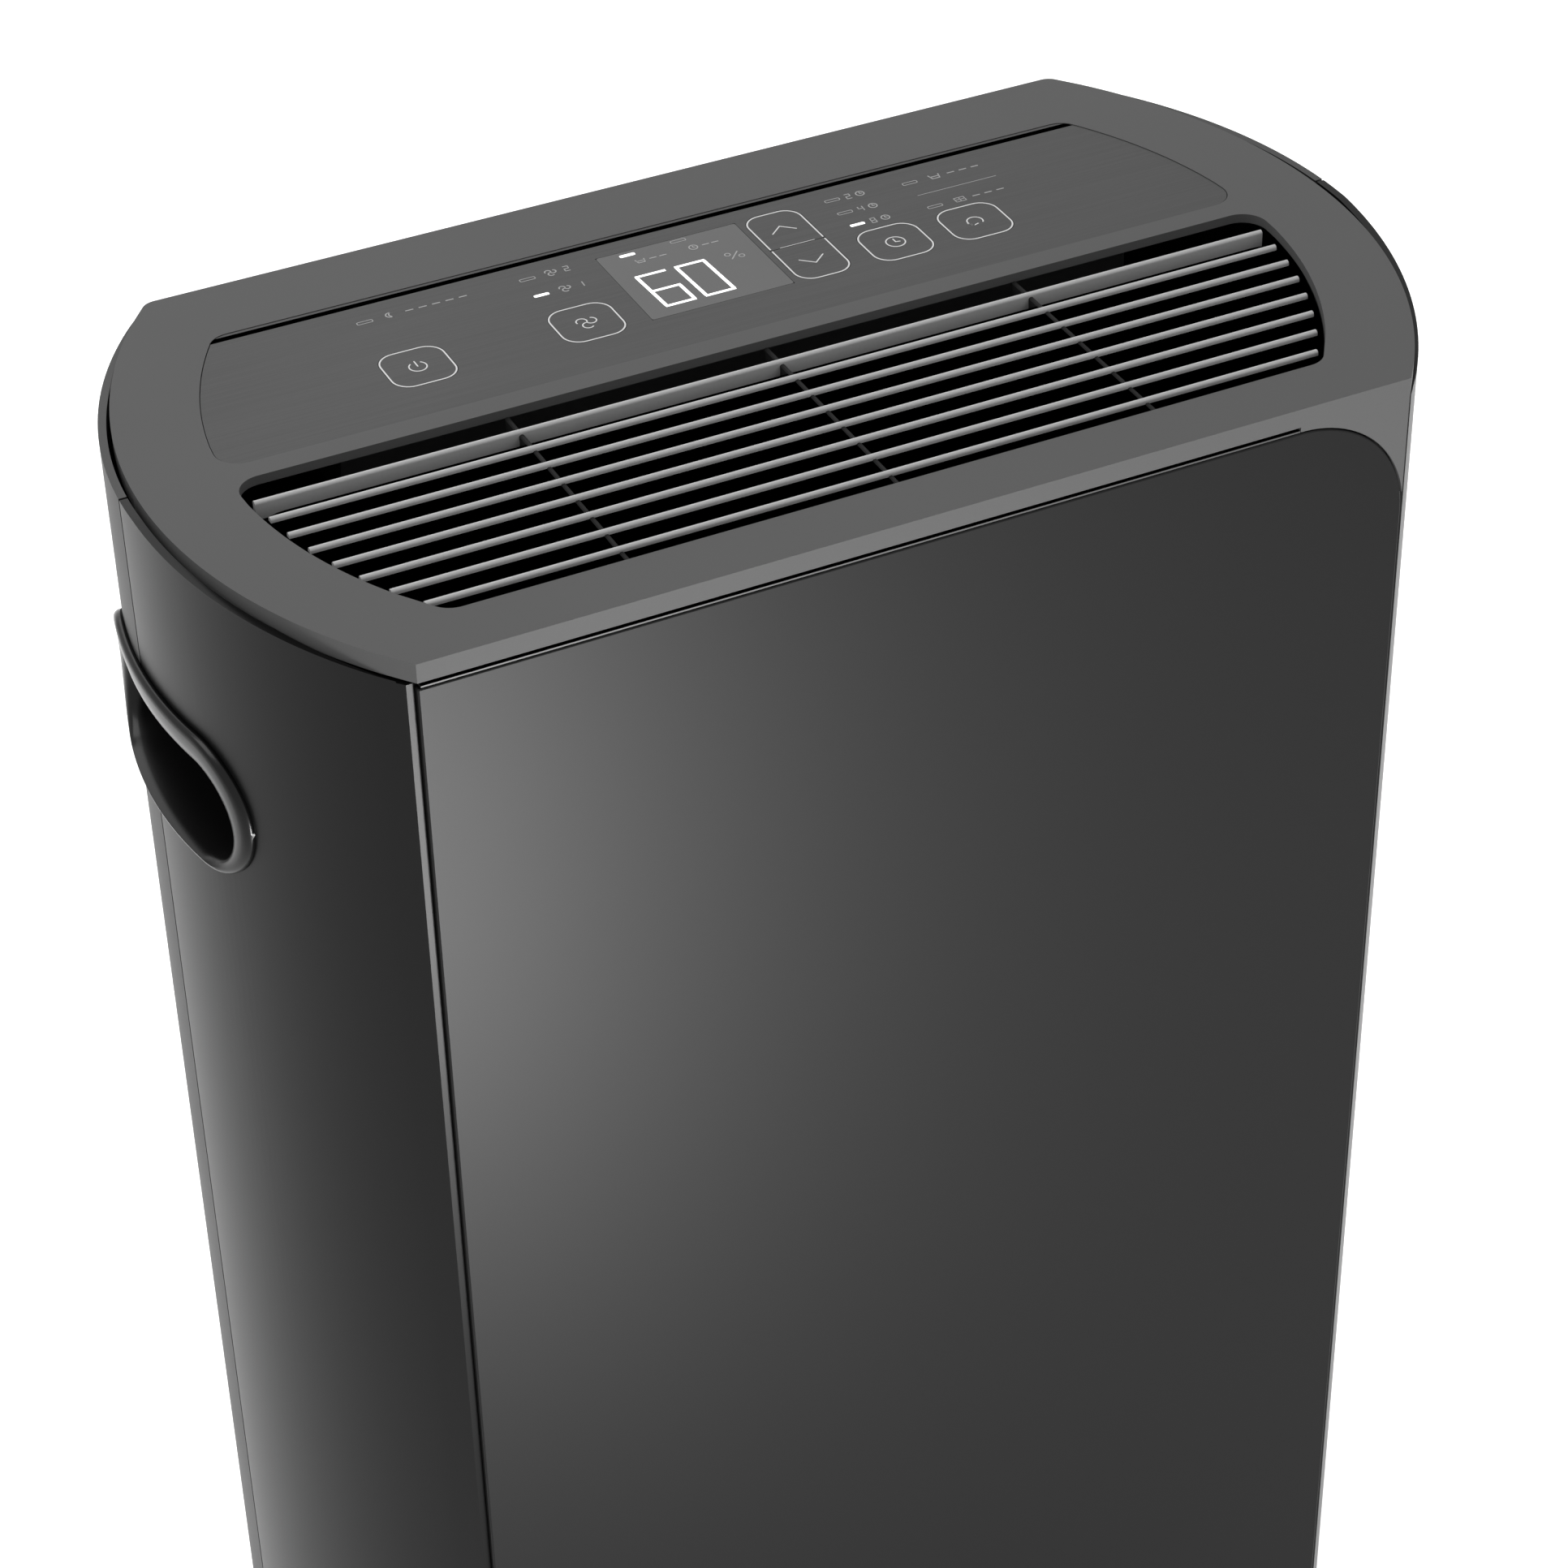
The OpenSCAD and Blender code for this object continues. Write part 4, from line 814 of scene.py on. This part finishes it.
def graphics():
    """Lamps and printed marks on the overlay and in the display window."""
    z = FACE + 0.005 * MM
    dim, lit, ink = [], [], []
    lamps = {"standby": (-102.4, 66.7), "fan_2": (-48.5, 67.5), "fan_1": (-48.5, 56.6), "t_2": (56.6, 68.0),
             "t_4": (56.6, 59.0), "t_8": (56.6, 50.4), "bucket": (83.5, 66.6), "net": (83.5, 49.3)}
    for name, (x, y) in lamps.items():
        x, y = x * MM, y * MM
        if name in ("fan_1", "t_8"):
            lit.append(pill(x, y))
        else:
            dim += hollow_pill(x, y)
    ink += icon("moon", -94 * MM, 67.2 * MM, 1.7 * MM)
    for k in range(5):
        ink.append(stroke([((-89 + 4.4 * k) * MM, 67.2 * MM), ((-86.4 + 4.4 * k) * MM, 67.2 * MM)], 0.5 * MM))
    ink += icon("fan", -40.5 * MM, 68.0 * MM, 1.9 * MM)
    ink += digit("2", -35.2 * MM, 68.0 * MM, DIGIT_W, DIGIT_H, DIGIT_LINE)
    ink += icon("fan", -40.5 * MM, 57.0 * MM, 1.9 * MM)
    ink += digit("1", -35.2 * MM, 57.0 * MM, DIGIT_W, DIGIT_H, DIGIT_LINE)
    for char, y in (("2", 68.0), ("4", 59.0), ("8", 50.4)):
        ink += digit(char, 62.2 * MM, y * MM, DIGIT_W, DIGIT_H, DIGIT_LINE)
        ink += icon("clock", 66.4 * MM, y * MM, 1.5 * MM)
    ink += icon("bucket", 92.5 * MM, 66.8 * MM, 1.8 * MM)
    ink += icon("net", 92.5 * MM, 49.6 * MM, 1.8 * MM)
    for k in range(3):
        for y in (66.8, 49.6):
            ink.append(stroke([((97 + 4.3 * k) * MM, y * MM), ((99.6 + 4.3 * k) * MM, y * MM)], 0.5 * MM))
    ink.append(stroke([(81.8 * MM, 58 * MM), (110 * MM, 58 * MM)], 0.25 * MM))
    flat("panel_print", ink, z, INK, MAT["print_dim"], "body", slot="light_pipe")
    flat("panel_lamps_off", dim, z, INK, MAT["print_dim"], "body", slot="light_pipe")
    flat("panel_lamps_lit", lit, z, INK, LIT, "body", slot="light_pipe")
    z = FACE + 0.025 * MM
    figures = digit("60", -6.6 * MM, 42.6 * MM, 9.4 * MM, 20.2 * MM, 1.15 * MM, slant=-0.05)
    figures.append(pill(-15.2 * MM, 66.6 * MM, 5.2 * MM, 1.5 * MM))
    flat("display_figures", figures, z, INK, LIT, "body", slot="light_pipe")
    faint = hollow_pill(2.5 * MM, 67.4 * MM, 5 * MM, 1.4 * MM)
    faint += icon("bucket", -13 * MM, 61.5 * MM, 1.5 * MM) + icon("clock", 5 * MM, 61.5 * MM, 1.5 * MM)
    for x in (-10, -6.6, 8, 11.2):
        faint.append(stroke([(x * MM, 61.5 * MM), ((x + 2.4) * MM, 61.5 * MM)], 0.5 * MM))
    x, y = 14.2 * MM, 51 * MM
    faint += [stroke([(x - 1.8 * MM, y - 2 * MM), (x + 1.8 * MM, y + 2 * MM)], LINE)]
    faint += [stroke(arc_points(x - 1.9 * MM, y + 1.2 * MM, 0.9 * MM, 0, 359, 12), 0.35 * MM),
              stroke(arc_points(x + 1.9 * MM, y - 1.2 * MM, 0.9 * MM, 0, 359, 12), 0.35 * MM)]
    flat("display_marks", faint, z, INK, MAT["print_dim"], "body", slot="light_pipe")


# ---- Back and base ----

def filter_net():
    low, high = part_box("filter_mesh")
    bm = bmesh.new()
    pitch, half = 2.4 * MM, 0.22 * MM
    y = (low.y + high.y) / 2
    x = low.x + pitch / 2
    while x < high.x:
        box_mesh(bm, (x - half, y - half, low.z), (x + half, y + half, high.z))
        x += pitch
    z = low.z + pitch / 2
    while z < high.z:
        box_mesh(bm, (low.x, y, z - half), (high.x, y + 1.6 * half, z + half))
        z += pitch
    new_object("filter_net", bm, MAT["net"], "filter", ["filter_mesh"], "mesh_grey", smooth=0)


def castor_wheel(node, body):
    low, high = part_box(node)
    c = (low + high) / 2
    r, w = (high.z - low.z) / 2, (high.x - low.x) / 2
    profile = [(2.6 * MM, w * 0.96), (5 * MM, w * 0.96), (5.4 * MM, w * 0.8), (6.2 * MM, w * 0.62),
               (r - 4.4 * MM, w * 0.62), (r - 3.2 * MM, w * 0.7), (r - 2.8 * MM, w), (r - 1.2 * MM, w),
               (r - 0.3 * MM, w * 0.9), (r, w * 0.72)]
    profile += [(pr, -pw) for pr, pw in reversed(profile)]
    steps = 48
    bm = bmesh.new()
    loops = []
    for k in range(steps):
        a = 2 * math.pi * k / steps
        cos_a, sin_a = math.cos(a), math.sin(a)
        loops.append([bm.verts.new((c.x + pw, c.y + pr * cos_a, c.z + pr * sin_a)) for pr, pw in profile])
    count = len(profile)
    for k in range(steps):
        a, b = loops[k], loops[(k + 1) % steps]
        for i in range(count):
            j = (i + 1) % count
            bm.faces.new((a[i], a[j], b[j], b[i]))
    bmesh.ops.recalc_face_normals(bm, faces=bm.faces)
    new_object(node + "_tyre", bm, MAT["tread"], body, [node], "castor_tread", smooth=35)


# ---- Stage ----

def world():
    w = bpy.data.worlds.new("studio")
    bpy.context.scene.world = w
    w.use_nodes = True
    tree = w.node_tree
    tree.nodes.clear()
    out = tree.nodes.new("ShaderNodeOutputWorld")
    path = tree.nodes.new("ShaderNodeLightPath")
    seen = tree.nodes.new("ShaderNodeMath")
    seen.operation = "MAXIMUM"
    seen2 = tree.nodes.new("ShaderNodeMath")
    seen2.operation = "MAXIMUM"
    tree.links.new(path.outputs["Is Camera Ray"], seen.inputs[0])
    tree.links.new(path.outputs["Is Glossy Ray"], seen.inputs[1])
    tree.links.new(seen.outputs[0], seen2.inputs[0])
    tree.links.new(path.outputs["Is Transmission Ray"], seen2.inputs[1])
    ambient = tree.nodes.new("ShaderNodeBackground")
    ambient.inputs["Color"].default_value = (1, 1, 1, 1)
    ambient.inputs["Strength"].default_value = 0.5
    white = tree.nodes.new("ShaderNodeBackground")
    white.inputs["Color"].default_value = (1, 1, 1, 1)
    white.inputs["Strength"].default_value = 1.0
    mix = tree.nodes.new("ShaderNodeMixShader")
    tree.links.new(seen2.outputs[0], mix.inputs[0])
    tree.links.new(ambient.outputs[0], mix.inputs[1])
    tree.links.new(white.outputs[0], mix.inputs[2])
    tree.links.new(mix.outputs[0], out.inputs["Surface"])


def floor():
    bm = bmesh.new()
    box_mesh(bm, (-6, -6, -0.02), (6, 6, 0))
    mat = bpy.data.materials.new("pale_floor")
    mat.use_nodes = True
    tree = mat.node_tree
    tree.nodes.clear()
    out = tree.nodes.new("ShaderNodeOutputMaterial")
    diffuse = tree.nodes.new("ShaderNodeBsdfDiffuse")
    diffuse.inputs["Color"].default_value = (0.82, 0.82, 0.82, 1)
    glow = tree.nodes.new("ShaderNodeEmission")
    glow.inputs["Strength"].default_value = 0.55
    path = tree.nodes.new("ShaderNodeLightPath")
    seen = tree.nodes.new("ShaderNodeMath")
    seen.operation = "MAXIMUM"
    tree.links.new(path.outputs["Is Camera Ray"], seen.inputs[0])
    tree.links.new(path.outputs["Is Glossy Ray"], seen.inputs[1])
    strength = tree.nodes.new("ShaderNodeMath")
    strength.operation = "MULTIPLY"
    strength.inputs[1].default_value = 0.6
    tree.links.new(seen.outputs[0], strength.inputs[0])
    tree.links.new(strength.outputs[0], glow.inputs["Strength"])
    add = tree.nodes.new("ShaderNodeAddShader")
    tree.links.new(diffuse.outputs[0], add.inputs[0])
    tree.links.new(glow.outputs[0], add.inputs[1])
    tree.links.new(add.outputs[0], out.inputs["Surface"])
    obj = new_object("floor", bm, mat, body=None, smooth=0)


def lamp(name, place, aim, size, watts, size_y=None, hidden=True):
    light = bpy.data.lights.new(name, "AREA")
    light.shape = "RECTANGLE"
    light.size = size
    light.size_y = size_y or size
    light.energy = watts
    obj = bpy.data.objects.new(name, light)
    obj.location = place
    obj.rotation_euler = (Vector(aim) - Vector(place)).to_track_quat("-Z", "Y").to_euler()
    bpy.context.scene.collection.objects.link(obj)
    obj.visible_camera = not hidden
    return obj


def camera():
    yaw, pitch, roll = (math.radians(a) for a in (25.50, 36.54, -1.32))
    forward = Vector((math.sin(yaw) * math.cos(pitch), math.cos(yaw) * math.cos(pitch), -math.sin(pitch)))
    flat_right = Vector((math.cos(yaw), -math.sin(yaw), 0))
    flat_up = flat_right.cross(forward)
    right = flat_right * math.cos(roll) + flat_up * math.sin(roll)
    up = -flat_right * math.sin(roll) + flat_up * math.cos(roll)
    cam = bpy.data.cameras.new("camera")
    cam.sensor_width = 36
    cam.lens = 95.2
    obj = bpy.data.objects.new("camera", cam)
    turn = Matrix((right, up, -forward)).transposed().to_4x4()
    obj.matrix_world = Matrix.Translation((-0.4611, -0.9722, TOP + 0.6318)) @ turn
    bpy.context.scene.collection.objects.link(obj)
    bpy.context.scene.camera = obj


def lights():
    lamp("key", (-1.2, 0.4, 2.6), (0, 0, 0.5), 1.6, 30)
    lamp("fill", (1.6, -1.0, 2.4), (0, 0, 0.4), 1.8, 10)
    lamp("back", (0.2, 1.8, 2.2), (0, 0, 0.5), 1.8, 14)
    glow = lamp("front_low", (0.02, -0.94, 0.03), (0, 0, 1), 0.18, 28.0, 0.5)
    glow.rotation_euler = (math.pi, 0, math.radians(18))


camera()
dress_cad_nodes()
top_cover()
grille_bars()
front_panel()
front_lip()
front_cabinet()
rear_cabinet()
for hand in (-1, 1):
    handle(hand)
overlay()
keys()
graphics()
filter_net()
for corner in ("fl", "fr", "rl", "rr"):
    castor_wheel("castor_wheel_" + corner, "wheel_" + corner)
world()
floor()
lights()

scene = bpy.context.scene
scene.view_settings.view_transform = "Standard"
